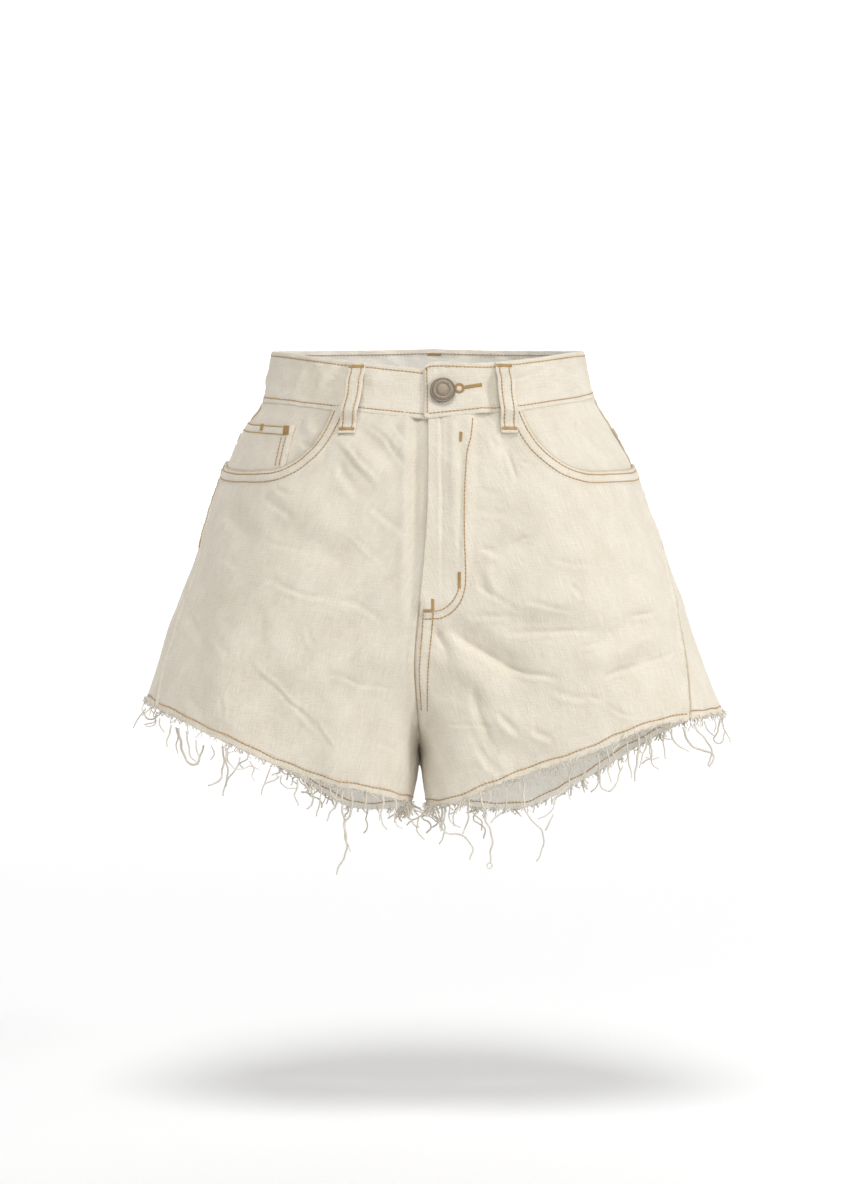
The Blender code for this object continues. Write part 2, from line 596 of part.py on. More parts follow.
def add_coin_pocket():
    """A small patch on the right facing, cut off where the front panel covers it."""
    share = np.linspace(0, 1, 7)
    rows = np.linspace(0, 1, 5)[:, None]
    edge_p, edge_z = scoop_edge(RIGHT, np.linspace(0, 1, 60))
    side_p = 0.5 - 2 * seam_step()
    inner_top = p_at(RIGHT, -1, COIN_INNER_X[0], COIN_TOP_Z[0])
    inner_bottom = p_at(RIGHT, -1, COIN_INNER_X[1], SCOOPS[RIGHT].lowest_z)
    top_p = inner_top + (side_p - inner_top) * share
    bottom_p = inner_bottom + (side_p - inner_bottom) * share
    top_z = COIN_TOP_Z[0] + (COIN_TOP_Z[1] - COIN_TOP_Z[0]) * share
    bottom_z = np.interp(bottom_p, edge_p, edge_z) + COIN_CLEAR
    p = top_p + (bottom_p - top_p) * rows
    z = top_z + (bottom_z - top_z) * rows
    cloth_wall("coin_pocket", RIGHT, p, z, ECRU, FLY_LAYER - CLOTH, FLY_LAYER)


def pocket_row(side, row, share):
    """Places across a back pocket, at a share of the way down its straight edges."""
    z = POCKET_TOP_Z - POCKET_DEPTH * row
    start = p_at(side, 1, side * np.interp(row, (0, 1), POCKET_INNER_X), z)
    places = np.linspace(start, 0.5, 200)
    points = form(side, places, z)
    walked = np.concatenate([[0], np.cumsum(np.linalg.norm(np.diff(points, axis=0), axis=1))])
    return np.interp(share * np.interp(row, (0, 1), POCKET_WIDTH), walked, places)


def add_back_pockets():
    share = np.linspace(0, 1, 15)
    rows = np.linspace(0, 1, 12)
    top = POCKET_TOP_Z + POCKET_TILT * share
    bottom = top - POCKET_DEPTH - POCKET_POINT * (1 - np.abs(1 - 2 * share))
    z = top + (bottom - top) * rows[:, None]
    for side in (RIGHT, LEFT):
        p = np.array([pocket_row(side, row, share) for row in rows])
        cloth_wall(side_name("back_pocket", side), side, p, z, ECRU, PATCH_GAP + FLY_LAYER, FLY_LAYER)


def band_points(ring, share, out):
    """Waistband points: ring runs 0..1 round the right half, 1..2 back round the left half."""
    ring, share = np.broadcast_arrays(ring, share)
    on_left = ((ring > 1) & (ring < 2)) | (ring < 0)
    p = np.where(ring > 1, np.abs(2 - ring), np.abs(ring))
    start, full = ring_at(LAP_STARTS_X), ring_at(LAP_FULL_X)
    lapping = smooth_step((ring - start) / (full - start))
    top = BAND_TOP(p) + OVERLAP_RISE * smooth_step((ring - start) / (2 - start))
    points = np.zeros(ring.shape + (3,))
    for side in (RIGHT, LEFT):
        bottom = WAIST_SEAM[side](p) + SEAM_GAP / 2
        z = top + (bottom - top) * share
        height = out + lapping * (BAND_CLOTH + LAP_GAP)
        here = form(side, p, z) + outward(side, p, z) * height[..., None]
        points = np.where((on_left if side == LEFT else ~on_left)[..., None], here, points)
    return points


def ring_at(x):
    """Ring place of a point near the front centre on the overlapping end."""
    if x < CENTRE_FRONT(0):
        return 2 + p_at(RIGHT, -1, x, BUTTON_Z)
    return 2 - p_at(LEFT, -1, x, BUTTON_Z)


def add_waistband():
    hole = sorted(ring_at(x) for x in BUTTONHOLE_X)
    end = ring_at(OVERLAP_END_X)
    under = np.linspace(ring_at(UNDER_END_X) - 2, 0, 4)
    most = np.linspace(0, 2, 57)[1:]
    most = most[most < hole[0] - 0.012]
    ring = np.concatenate([under, most, hole, [end]])[None, :]
    share = np.array([0.0, *BUTTONHOLE_SHARE, 1.0])[:, None]
    outer = band_points(ring, share, BAND_PROUD)
    inner = band_points(ring, share, BAND_PROUD - BAND_CLOTH)
    cell = ring.shape[1] - 3
    wall("waistband", outer, inner, ECRU, holes={(1, cell)})


def add_belt_loops():
    for loop in BELT_LOOPS:
        share = np.linspace(0, 1, 11)
        top_p = p_at(loop.side, loop.face, loop.top_x, 10)
        top_z = float(BAND_TOP(top_p)) - LOOP_BELOW_TOP
        bottom_z = top_z - LOOP_LENGTH
        bottom_p = p_at(loop.side, loop.face, loop.bottom_x, bottom_z)
        p = top_p + (bottom_p - top_p) * share
        z = top_z + (bottom_z - top_z) * share
        seam_z = WAIST_SEAM[loop.side](p)
        ground = BAND_PROUD * smooth_step((z - seam_z + 9) / 6)
        arch = smooth_step((share - 0.1) / 0.2) * smooth_step((0.9 - share) / 0.2)
        stand = ground + LOOP_GAP + (LOOP_STANDS - LOOP_GAP) * arch
        points = cloth(loop.side, p, z)
        normal = outward(loop.side, p, z)
        middle = len(share) // 2
        across = np.cross(normal[middle], [0, 0, 1])
        across = across / np.linalg.norm(across) * LOOP_WIDTH / 2
        spots = [points + normal * (stand + up)[:, None] for up in (LOOP_CLOTH, 0)]
        outer, inner = (np.stack([spot - across, spot + across], axis=1) for spot in spots)
        wall(loop.name, outer, inner, ECRU)


def add_fly():
    """The shield behind the fly, and the closed zip between it and the fly."""
    rows = np.linspace(0, 1, 11)[:, None]
    top_z = WAIST_SEAM[LEFT](0.0) - SEAM_GAP / 2
    shield_z = top_z + (FLY_BOTTOM_Z + 8 - top_z) * rows
    zip_z = top_z + (FLY_BOTTOM_Z + 22 - top_z) * rows
    shield_p = np.linspace(seam_step() * 2, SHIELD_P, 5) * (1 - 0.35 * rows ** 2)
    zip_p = np.linspace(*ZIP_P, 4) * (1 - 0.3 * rows ** 2)
    behind = -(CLOTH + SEAM_GAP) - FLY_LIFT
    for name, p, z, colour, out in (
        ("fly_shield", shield_p, shield_z, ECRU_SHADE, behind),
        ("zip", zip_p, zip_z, ZIP_TAPE, behind + SEAM_GAP + FLY_LAYER),
    ):
        cloth_wall(name, LEFT, p, np.broadcast_to(z, p.shape), colour, out, FLY_LAYER)


def add_button():
    """A tack button: a domed rim on a stem that passes through the buttonhole."""
    profile = (
        (0.0, 4.3), (5.2, 4.1), (7.4, 3.7), (8.3, 4.6), (9.3, 4.4), (BUTTON_RADIUS, 3.4),
        (9.4, 2.3), (7.0, 1.8), (BUTTON_SHANK, 1.7), (BUTTON_SHANK, -2.6), (0.0, -2.6),
    )
    turns = 24
    points = []
    faces = []
    for radius, height in profile[1:-1]:
        for turn in range(turns):
            angle = 2 * math.pi * turn / turns
            points.append((radius * math.cos(angle), radius * math.sin(angle), height))
    rings = len(profile) - 2
    for ring in range(rings - 1):
        for turn in range(turns):
            after = (turn + 1) % turns
            faces.append([ring * turns + turn, ring * turns + after,
                          (ring + 1) * turns + after, (ring + 1) * turns + turn])
    faces.append(list(range(turns)))
    faces.append(list(range((rings - 1) * turns, rings * turns)))
    made = add_object("button", closed_mesh("button", points, faces), SILVER, 0.38, 1.0)
    ring = np.array(ring_at(BUTTON_X))
    height = np.array(sum(BUTTONHOLE_SHARE) / 2)
    place = band_points(ring, height, BAND_PROUD + SEAM_GAP)
    axis = outward(LEFT, 2 - ring, BUTTON_Z)
    made.location = place * MM
    made.rotation_euler = (math.acos(axis[2]), 0, math.atan2(axis[1], axis[0]) + math.pi / 2)


def hem_corners(side):
    """The panels' corners along one leg's cut edge, in the middle of the cloth, and their p."""
    front_p, front_z = front_outline(side, *FRONT_CELLS)
    back_p, back_z = back_outline(side, *BACK_CELLS)
    p = np.concatenate([front_p[-1], back_p[-1][-2:0:-1]])
    z = np.concatenate([front_z[-1], back_z[-1][-2:0:-1]])
    return cloth(side, p, z, -CLOTH / 2), p


def hem_ring(side):
    """Points just under the cut edge with their p, and the numbers of those where a thread starts."""
    corners, corner_p = hem_corners(side)
    points, places, starts = [], [], []
    for here, corner in enumerate(corners):
        after = (here + 1) % len(corners)
        run = corners[after] - corner
        run_p = (corner_p[after] if after else 1) - corner_p[here]
        half = FRINGE_THICK / 2 / np.linalg.norm(run)
        points.append(corner)
        places.append(corner_p[here])
        for middle in FRONT_THREADS if here < FRONT_CELLS[0] else BACK_THREADS:
            starts.append(len(points))
            for share in (middle - half, middle + half):
                points.append(corner + run * share)
                places.append(corner_p[here] + run_p * share)
    return np.array(points) - np.array([0, 0, SEAM_GAP]), np.array(places), starts


def thread_lengths(side, places, starts):
    """(down, sideways, out) of each thread of a leg."""
    chance = random.Random(40 + side)
    hangs = [(chance.uniform(*SHORT_THREAD), chance.uniform(-2, 2), chance.uniform(-0.5, 1.5))
             for _ in starts]
    for thread in LONG_THREADS:
        if thread.side == side:
            p = p_at(side, thread.face, thread.x, HEM_LEVEL)
            nearest = int(np.argmin(np.abs(places[starts] - p)))
            hangs[nearest] = (thread.down, thread.sideways, thread.out)
            if abs(thread.sideways) > 6:
                for beside in (nearest - 1, nearest + 1):
                    hangs[beside] = (BESIDE_LONG, 0, 0)
    return hangs


def hem_thread(start, hang, tangent, normal, steps=3):
    """Centre points of a thread: it hangs down, swings along the hem and away from the leg."""
    down, sideways, out = hang
    share = np.linspace(0, 1, steps + 1)[1:, None]
    drop = np.array([0, 0, -1.0]) * down * share
    swing = tangent * sideways * share ** 1.5
    return start + drop + swing + normal * out * np.sin(share * math.pi / 2)


def add_hem_fringes():
    """Under each hem a narrow strip of cut edge, with the freed threads hanging from it."""
    for side in (RIGHT, LEFT):
        line, places, starts = hem_ring(side)
        count = len(line)
        normal = outward(side, places, line[:, 2])
        low = line - np.array([0, 0, FRINGE_TALL])
        half = FRINGE_THICK / 2
        points = np.concatenate([line, low + normal * half, low - normal * half]).tolist()
        faces = []
        for here in range(count):
            after = (here + 1) % count
            faces.append([here, after, count + after, count + here])
            faces.append([2 * count + here, 2 * count + after, after, here])
            if here not in starts:
                faces.append([count + here, count + after, 2 * count + after, 2 * count + here])
        for start, hang in zip(starts, thread_lengths(side, places, starts)):
            root = [count + start, count + start + 1, 2 * count + start + 1, 2 * count + start]
            base = np.array([points[corner] for corner in root])
            centre = base.mean(axis=0)
            tangent = base[1] - base[0]
            tangent = tangent / np.linalg.norm(tangent)
            trail = hem_thread(centre, hang, tangent, normal[start])
            for number, spot in enumerate(trail):
                shrink = 1 - 0.45 * (number + 1) / len(trail)
                tip = list(range(len(points), len(points) + 4))
                points.extend((spot + (base - centre) * shrink).tolist())
                for corner in range(4):
                    after = (corner + 1) % 4
                    faces.append([root[corner], root[after], tip[after], tip[corner]])
                root = tip
            faces.append(root)
        name = side_name("hem_fringe", side)
        add_object(name, closed_mesh(name, points, faces), THREAD_WHITE)


def main():
    for old in list(bpy.data.objects):
        bpy.data.objects.remove(old)
    add_panels()
    add_yokes()
    add_pocket_facings()
    add_coin_pocket()
    add_back_pockets()
    add_waistband()
    add_belt_loops()
    add_fly()
    add_button()
    add_hem_fringes()


main()
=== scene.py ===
"""Looks of the cut-off ecru denim shorts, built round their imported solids.

Lengths are millimetres from the middle of the waist opening: x to the wearer's left, y to the back, z up.
Meshes are in metres. A place on the cloth is (side, p, z): side is -1 for the wearer's right half and +1
for the left, p runs round the half from 0 at the front centre line (the inseam, on a leg) through 0.5 at
its outermost point to 1 at the back centre line, and z is the height.
"""
import math
import random
from collections import namedtuple

import bmesh
import bpy
import numpy as np
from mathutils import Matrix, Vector, noise
from mathutils.bvhtree import BVHTree
from mathutils.kdtree import KDTree


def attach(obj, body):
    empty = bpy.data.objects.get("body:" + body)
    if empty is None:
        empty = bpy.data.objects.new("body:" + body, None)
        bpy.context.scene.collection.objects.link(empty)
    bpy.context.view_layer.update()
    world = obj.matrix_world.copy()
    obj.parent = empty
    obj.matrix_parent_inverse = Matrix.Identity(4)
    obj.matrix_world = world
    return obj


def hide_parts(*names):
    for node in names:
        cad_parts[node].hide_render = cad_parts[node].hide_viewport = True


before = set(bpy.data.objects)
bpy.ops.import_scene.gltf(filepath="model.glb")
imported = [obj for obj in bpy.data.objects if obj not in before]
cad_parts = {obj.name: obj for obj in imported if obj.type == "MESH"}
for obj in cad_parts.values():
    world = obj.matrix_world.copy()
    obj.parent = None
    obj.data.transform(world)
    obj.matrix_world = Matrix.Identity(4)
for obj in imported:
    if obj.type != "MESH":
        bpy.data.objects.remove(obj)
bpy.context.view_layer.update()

MM = 0.001
RIGHT, LEFT = -1, 1
FRONT_FACE, BACK_FACE = -1, 1


def table(name, columns, *rows):
    """Rows with named columns; the last column may be left out where it is 1."""
    kind = namedtuple(name, columns, defaults=(1.0,))
    return [kind(*row) for row in rows]


# ---------------------------------------------------------------- the garment's sizes, close to its solids'
CLOTH = 1.3              # thickness of one layer of denim
BAND_CLOTH = 2.4         # thickness of the doubled waistband
BAND_PROUD = 0.7         # the waistband's face above the panels' face
SEAM_GAP = 0.1           # between neighbouring pieces
PATCH_GAP = 0.3          # under a patch pocket
FORK_Z = -293.0          # height of the crotch point
FORK_Y = 12.0            # the crotch point, behind the middle
FRONT_TURN_Z = -203.0    # where the front centre line starts to curve under
BACK_TURN_Z = -168.0     # where the back centre line starts to curve under
LEG_SPREAD = {RIGHT: 0.48, LEFT: 0.36}  # far below the crotch each inseam leaves the middle by this much a mm
SPREAD_SOFT = 18.0       # and they start to part over about this height
HALF_GIRTH = 640.0       # rough length round one half, for turning a gap into a step of p
SEAM_STEP = SEAM_GAP / 2 / HALF_GIRTH
CORNER_CUT = 0.8         # length round a rounded corner, as a share of the two sides it cuts off
WAIST_SHARE = 0.36       # share of a front panel's top edge that meets the waistband

# Level sections of the garment: reach to each side, front and back depth on the centre of each half,
# the squareness of the outer corners and of the corners by the inseam (2 is an ellipse), and how far
# from the centre line the flat middle of the front and the back extends.
SECTIONS = table("Section", "z right left front back corner inner_corner flat",
    (40, 124, 121, -83, 86, 2.25, 2.4, 18),
    (5, 130, 126.5, -88, 92, 2.25, 2.4, 22),
    (-14, 134.5, 133, -92, 97, 2.25, 2.4, 26),
    (-31, 146, 144, -97, 101, 2.2, 2.4, 30),
    (-69, 165, 164, -106, 112, 2.2, 2.4, 42),
    (-107, 177.5, 178, -111, 121, 2.2, 2.6, 56),
    (-150, 192, 194, -113, 125, 2.2, 3.0, 70),
    (-200, 210, 211, -111, 121, 2.25, 3.6, 84),
    (-250, 226, 229, -107, 112, 2.3, 4.2, 97),
    (-300, 244, 247, -103, 103, 2.3, 4.5, 106),
    (-350, 264, 267, -100, 96, 2.3, 4.5, 110),
)

# Where the centre lines of the front and the back run.
CENTRES = table("Centre", "z front back",
    (40, -2, 3),
    (-110, -2, 1),
    (-171, -7, -2),
    (-220, -11, -5),
    (-260, -9, -7),
    (-293, -8, -8),
    (-350, -8, -8),
)

# Height of the waistband's two edges round a half.
BAND = table("Band", "p top right_seam left_seam",
    (0.0, 6, -31, -31),
    (0.17, 13, -24, -24),
    (0.34, 22, -16, -14),
    (0.5, 27, -11, -7),
    (0.75, 33, -5, -4),
    (1.0, 36, -2, -2),
)
OVERLAP_RISE = 5.0       # the buttoned end's top edge stands above the under end's

# Height of the cut hem, from the inseam (across 0) to the leg's outermost point (1), front and back.
HEM = table("Hem", "across right_front right_back left_front left_back",
    (0.0, -328, -342, -331, -337),
    (0.1, -321, -344, -326, -341),
    (0.22, -315, -343, -313, -345),
    (0.32, -309, -332, -304, -343),
    (0.42, -301, -318, -296, -333),
    (0.54, -290, -303, -286, -317),
    (0.67, -276, -286, -271, -299),
    (0.8, -263, -268, -264, -282),
    (0.92, -254, -255, -260, -268),
    (1.0, -250, -250, -260, -260),
)
HEM_LEVEL = -300.0

# Where the side seam runs: at the outermost point by the waist, turned forward at the hem.
SIDE_SEAM = table("Side", "z right left",
    (40, 0.5, 0.5),
    (-50, 0.5, 0.5),
    (-72, 0.496, 0.498),
    (-100, 0.455, 0.468),
    (-128, 0.425, 0.441),
    (-170, 0.414, 0.412),
    (-220, 0.408, 0.38),
    (-265, 0.402, 0.373),
    (-350, 0.398, 0.37),
)

# Front pocket openings: a quarter ellipse from the waistband, then a gentle rise to the side seam.
Scoop = namedtuple("Scoop", "start_x lowest_x lowest_z end_z")
SCOOPS = {
    RIGHT: Scoop(start_x=-76, lowest_x=-127, lowest_z=-71, end_z=-61),
    LEFT: Scoop(start_x=71, lowest_x=123, lowest_z=-71, end_z=-63),
}
SCOOP_ROUND = 0.62       # share of the pocket edge that is the quarter ellipse

COIN_INNER_X = (-106.0, -113.0)  # the coin pocket's edge nearer the fly, at its top and bottom
COIN_TOP_Z = (-36.0, -27.5)      # its top edge, there and at the side seam

YOKE_AT_SIDE = 34.0      # depth of the yoke at the side seam
YOKE_AT_BACK = 62.0      # and at the back centre

FLY_LIFT = 2.6           # the fly edge lies over the right front
FLY_WIDTH = 29.0         # from the fly edge to the J-stitch
FLY_BOTTOM_Z = -176.0
FLY_SOFT = 9.0           # over this width the lift dies away
FLY_LAYER = 1.2          # shield, zip tape, facings and patch pockets
OVERLAP_END_X = -4.0      # where the waistband's buttoned end stops
UNDER_END_X = 33.0       # where the end below it stops
LAP_FULL_X = 36.0        # the waistband is level with its under end again from
LAP_STARTS_X = 49.0      # here on
LAP_GAP = 0.4            # between the two ends where they lie over each other

BUTTON_X = 10.0
BUTTON_Z = -12.0
BUTTONHOLE_SHARE = (0.47, 0.62)  # height of the buttonhole, as shares of the band

# The largest folds, as soft ridges (height > 0) and troughs on the front or the back.
FOLDS = table("Fold", "face x1 z1 x2 z2 width height",
    # drag lines from the right front belt loop towards the fly
    (-1, -76, -42, -30, -82, 10, 2.6),
    (-1, -62, -34, -20, -70, 7, -2.0),
    (-1, -48, -34, -10, -66, 8, 1.8),
    # right leg front
    (-1, -132, -84, -60, -124, 14, 2.6),
    (-1, -118, -118, -40, -150, 13, -2.0),
    (-1, -158, -92, -136, -134, 10, -3.2),
    (-1, -172, -128, -190, -236, 13, -4.0),
    (-1, -148, -190, -170, -276, 13, 3.4),
    (-1, -112, -215, -126, -300, 13, -3.0),
    (-1, -64, -236, -80, -318, 14, 3.0),
    (-1, -14, -182, -96, -200, 11, -2.2),
    (-1, -24, -206, -80, -234, 12, 2.0),
    # creases that run out from the foot of the fly over the left leg front
    (-1, 2, -182, 84, -236, 9, -5.0),
    (-1, 2, -198, 60, -254, 11, 4.0),
    (-1, 0, -186, 18, -224, 6, -3.4),
    (-1, 46, -192, 128, -190, 9, -3.0),
    (-1, 40, -176, 130, -170, 9, 2.4),
    (-1, 104, -210, 180, -180, 10, -3.0),
    (-1, 126, -238, 194, -204, 10, -3.0),
    (-1, 110, -224, 184, -194, 9, 2.2),
    (-1, 36, -258, 108, -282, 12, 2.2),
    (-1, 30, -278, 92, -300, 11, -1.6),
    (-1, 38, -132, 82, -122, 8, -2.6),
    (-1, 52, -44, 72, -70, 9, -2.6),
    # below the seat, and from the seat to the side seams
    (1, -24, -218, -124, -262, 13, -4.6),
    (1, 22, -222, 128, -258, 13, -4.6),
    (1, -34, -250, -154, -288, 14, 3.6),
    (1, 30, -252, 154, -284, 14, 3.6),
    (1, -12, -92, -22, -184, 10, -2.8),
    (1, 14, -96, 24, -188, 10, -2.6),
)

# Belt loops, tacked near the waistband's top edge and on the panel below it; x at either end.
BELT_LOOPS = table("Loop", "name side face top_x bottom_x",
    ("belt_loop_front_right", RIGHT, -1, -56, -64),
    ("belt_loop_front_left", LEFT, -1, 57, 61),
    ("belt_loop_back_right", RIGHT, 1, -66, -71),
    ("belt_loop_back_left", LEFT, 1, 68, 73),
    ("belt_loop_centre_back", LEFT, 1, 3.2, 3.2),
)
LOOP_WIDTH = 13.0
LOOP_CLOTH = 2.0
LOOP_GAP = 0.6           # at its tacked ends, since the cloth below curves away
LOOP_LENGTH = 54.0
LOOP_BELOW_TOP = 0.6     # its top end below the waistband's top edge
LOOP_STANDS = 7.0        # clear height under a loop for the belt

# Back patch pockets, placed by the edge nearer the back centre and cut to these widths.
POCKET_INNER_X = (52.0, 62.0)    # that edge's top and bottom
POCKET_WIDTH = (150.0, 128.0)    # over the cloth, at the top and at the bottom
POCKET_TOP_Z = -84.0
POCKET_TILT = 5.0        # its outer top corner lies this much above the inner one
POCKET_DEPTH = 122.0
POCKET_POINT = 17.0      # the bottom's middle hangs below its corners

# ---------------------------------------------------------------- sizes used only for the looks
TUCK = 3.0               # panels reach this far up inside the waistband
FACING_BEHIND = 1.9      # a facing's face below the front's
FACING_INSIDE_P = 0.03   # it reaches this far in under the front, past the scoop's start
FACING_BELOW = (14.0, 8.0)  # and this far below its lowest point, at the inner and the side edge
COIN_PROUD = 1.0         # the coin pocket's face above the facing's
COIN_UNDER = 4.0         # it reaches this far below the scoop, under the front
SHIELD_P = 0.088         # p of the fly shield's far edge
ZIP_P = (0.006, 0.062)   # and of the zip tape's two edges
BAND_CORNER = 6.0        # radius of the buttoned end's corner

# Finer creases on the front or the back; bow bends one sideways in its middle.
CREASES = table("Crease", "face x1 z1 x2 z2 width height bow stray",
    # beside the fly's edge, and the ridges and lines that its layers press through it
    (-1, -8.5, 30, -14.5, -225, 4.2, -3.2, 1, 0.3),
    (-1, 8.0, 10, 9.5, -184, 1.3, -1.4, 0, 0.2),
    (-1, 18.0, 0, 17.0, -150, 3.4, 1.5, 0, 0.3),
    (-1, 23.6, -40, 22.6, -160, 1.6, -1.3, 0, 0.3),
    # drag lines from the right front belt loop
    (-1, -73, -44, -34, -89, 2.4, 1.36, -1),
    (-1, -62, -48, -32, -82, 2.0, -1.12, 1),
    (-1, -72, -63, -48, -95, 3.8, -1.2, 2),
    (-1, -49, -32, -8, -76, 1.8, -1.2, 2),
    (-1, -30, -34, -12, -53, 1.8, -0.88, 1),
    (-1, -51, -97, -11, -129, 2.2, -0.88, -2),
    # a facing's fold and the right leg front
    (-1, -101, -47, -86, -54, 2.2, -2.08, 0),
    (-1, -93, -26, -92, -47, 5.0, 1.8, 1),
    (-1, -126, -40, -130, -62, 3.0, -0.96, 1),
    (-1, -130, -89, -100, -111, 2.4, -0.94, 2),
    (-1, -76, -113, -34, -154, 1.6, 0.55, -3),
    (-1, -127, -155, -65, -172, 2.4, -0.83, 2),
    (-1, -77, -169, -31, -188, 2.8, -0.83, -2),
    (-1, -158, -99, -146, -124, 3.2, -0.99, 1),
    (-1, -159, -136, -148, -149, 3.2, -0.77, 0),
    (-1, -139, -215, -83, -265, 1.7, 0.83, 2),
    (-1, -88, -257, -64, -294, 1.8, 0.55, 2),
    (-1, -103, -251, -83, -274, 2.4, -0.83, 1),
    (-1, -92, -188, -86, -210, 2.2, -0.66, 1),
    (-1, -156, -241, -154, -272, 1.7, 0.61, 1),
    (-1, -195, -174, -171, -212, 3.6, -1.16, 3),
    (-1, -188, -242, -171, -274, 3.6, -0.88, -2),
    (-1, -65, -305, -25, -238, 1.5, -0.5, -2),
    (-1, -80, -225, -12, -242, 1.6, -0.61, 2),
    (-1, -42, -283, -24, -288, 2.0, -0.61, 1),
    (-1, -169, -196, -150, -221, 3.0, -0.66, -2),
    (-1, -119, -82, -104, -93, 2.4, -0.96, 1),
    (-1, -135, -124, -77, -137, 1.8, -0.44, 1),
    (-1, -124, -180, -130, -210, 3.0, -0.5, 2),
    # from the foot of the fly over the left leg front
    (-1, 12, -191, 71, -229, 3.0, -3.4, 2),
    (-1, 52, -220, 102, -235, 2.2, -2.2, -1),
    (-1, 3, -191, 15, -215, 2.4, -2.2, 1),
    (-1, 50, -196, 135, -193, 1.8, -1.9, 1),
    (-1, 38, -131, 56, -132, 3.2, -2.4, 1),
    (-1, 48, -132, 83, -123, 1.6, -1.6, -1),
    (-1, 62, -52, 67, -83, 2.4, -2.2, 1),
    (-1, 71, -64, 83, -68, 2.0, -1.3, 0),
    (-1, 45, -46, 52, -57, 2.0, -1.2, 0),
    (-1, 36, -102, 62, -105, 2.2, -1.1, 1),
    (-1, 37, -89, 53, -89, 2.0, -0.9, 0),
    (-1, 40, -144, 55, -166, 4.0, 1.7, 1),
    (-1, 31, -153, 72, -179, 1.7, -1.3, 2),
    (-1, 69, -171, 111, -178, 1.6, -1.1, -1),
    (-1, 108, -158, 123, -172, 1.7, -1.1, 1),
    (-1, 25, -184, 72, -181, 2.0, -1.3, 0),
    (-1, 114, -208, 139, -198, 1.8, -1.5, 1),
    (-1, 130, -231, 171, -218, 1.8, -1.8, -1),
    (-1, 164, -220, 192, -209, 1.8, -1.6, 1),
    (-1, 152, -185, 179, -178, 2.0, -1.6, 1),
    (-1, 50, -256, 72, -276, 2.4, -2.0, 1),
    (-1, 77, -267, 98, -281, 2.2, -1.9, 1),
    (-1, 31, -228, 52, -292, 3.4, -1.6, 4),
    (-1, 6, -264, 56, -268, 1.4, -0.9, 1),
    (-1, 36, -281, 59, -309, 3.0, -1.2, 2),
    (-1, 119, -241, 134, -251, 1.6, -1.1, 0),
    (-1, 133, -252, 162, -260, 1.6, -1.1, 1),
    (-1, 85, -140, 140, -144, 1.8, -0.8, 1),
    (-1, 85, -240, 132, -244, 2.2, -0.9, 2),
    # the left pocket's facing
    (-1, 114, -21, 132, -50, 2.0, -1.6, 2),
    (-1, 83, -38, 104, -35, 1.6, -1.1, 1),
    (-1, 111, -35, 136, -31, 1.6, -1.6, -1),
    (-1, 119, -51, 137, -70, 1.8, 1.1, 1),
    # seat and back of the legs
    (1, -18, -216, -112, -256, 4.0, -2.6, 5),
    (1, 16, -218, 116, -252, 4.0, -2.9, -5),
    (1, -24, -236, -88, -276, 4.0, -1.8, 4),
    (1, 22, -240, 92, -272, 4.0, -1.7, -4),
    (1, -16, -104, -24, -176, 4.4, -1.4, 3),
    (1, 16, -108, 26, -170, 4.4, -1.3, -3),
    (1, -168, -226, -206, -250, 4.6, -1.6, 3),
    (1, 170, -222, 208, -252, 4.6, -1.4, -3),
    (1, -140, -60, -112, -84, 4.6, -1, 2),
    (1, 138, -58, 114, -80, 4.6, -1, -2),
)

# Wrinkles of the waistband's face: x and z of the middle, lean in radians.
BAND_WRINKLES = table("Wrinkle", "x z lean long wide height",
    (72, 1.5, 0.35, 10, 2.2, -1.4),
    (86, 7.5, 0.5, 9, 2.2, -1.4),
    (106, 8.5, -0.1, 10, 2.4, -1.2),
    (90, -2.0, 0.3, 10, 3.2, 1.2),
    (84, -8.0, 1.3, 6, 3.0, -0.9),
    (-76, -9.0, 1.4, 9, 3.0, -1.5),
    (-84, -1.0, 1.2, 9, 3.6, 1.2),
    (-92, -7.0, 1.0, 10, 3.0, -1.4),
    (-102, 0.0, 1.1, 10, 3.8, 1.2),
    (-112, -6.0, 0.9, 9, 3.2, -1.2),
    (-106, 10.0, -0.3, 10, 3.0, -0.8),
    (-26, -10.0, -0.1, 14, 4.0, -1.1),
    (-44, -2.0, 0.1, 11, 4.0, 0.9),
)

ECRU = (0.80, 0.745, 0.64)
YARN_WHITE = (0.68, 0.625, 0.53)
THREAD_TAN = (0.46, 0.29, 0.115)
TAPE = (0.62, 0.57, 0.46)
SILVER = (0.31, 0.259, 0.2)
BUTTON_BOSSES = 22
RIB_ANGLE = 27.0         # of the twill's rib, from the warp
RIB_PITCH = 0.9
INSIDE = -1.0            # painted-shading value that marks the inside faces of the cloth, which get painted light
FLOOR_Z = -0.585         # in metres, under the floating garment
FLOOR_GLOW = 0.0        # light given off by the stage's floor and by its wall
WALL_GLOW = 0.95
# A seam's strip of extra cloth, mm: its width and height, how far its edge rolls down, the distances of
# its stitched rows from that edge, and the height and pitch of its puckers.
Seam = namedtuple("Seam", "width raised roll rows pucker pitch")
DOUBLE_ROW = Seam(width=10.5, raised=0.95, roll=0.6, rows=(3.0, 9.5), pucker=0.2, pitch=6.5)
SIDE_ROW = Seam(width=6.5, raised=0.9, roll=1.0, rows=(1.8,), pucker=0.3, pitch=8.5)
SIDE_RIDGE = Seam(width=2.6, raised=1.9, roll=0.9, rows=(), pucker=0.3, pitch=8.5)
FLAT_FELL = Seam(width=8.0, raised=0.8, roll=0.5, rows=(1.8, 7.4), pucker=0.28, pitch=7.5)
PLAIN_SEAM = Seam(width=5.5, raised=0.45, roll=1.2, rows=(), pucker=0.25, pitch=9.0)
BAND_SEAM = Seam(width=4.0, raised=0.0, roll=0.3, rows=(), pucker=0.22, pitch=11.0)
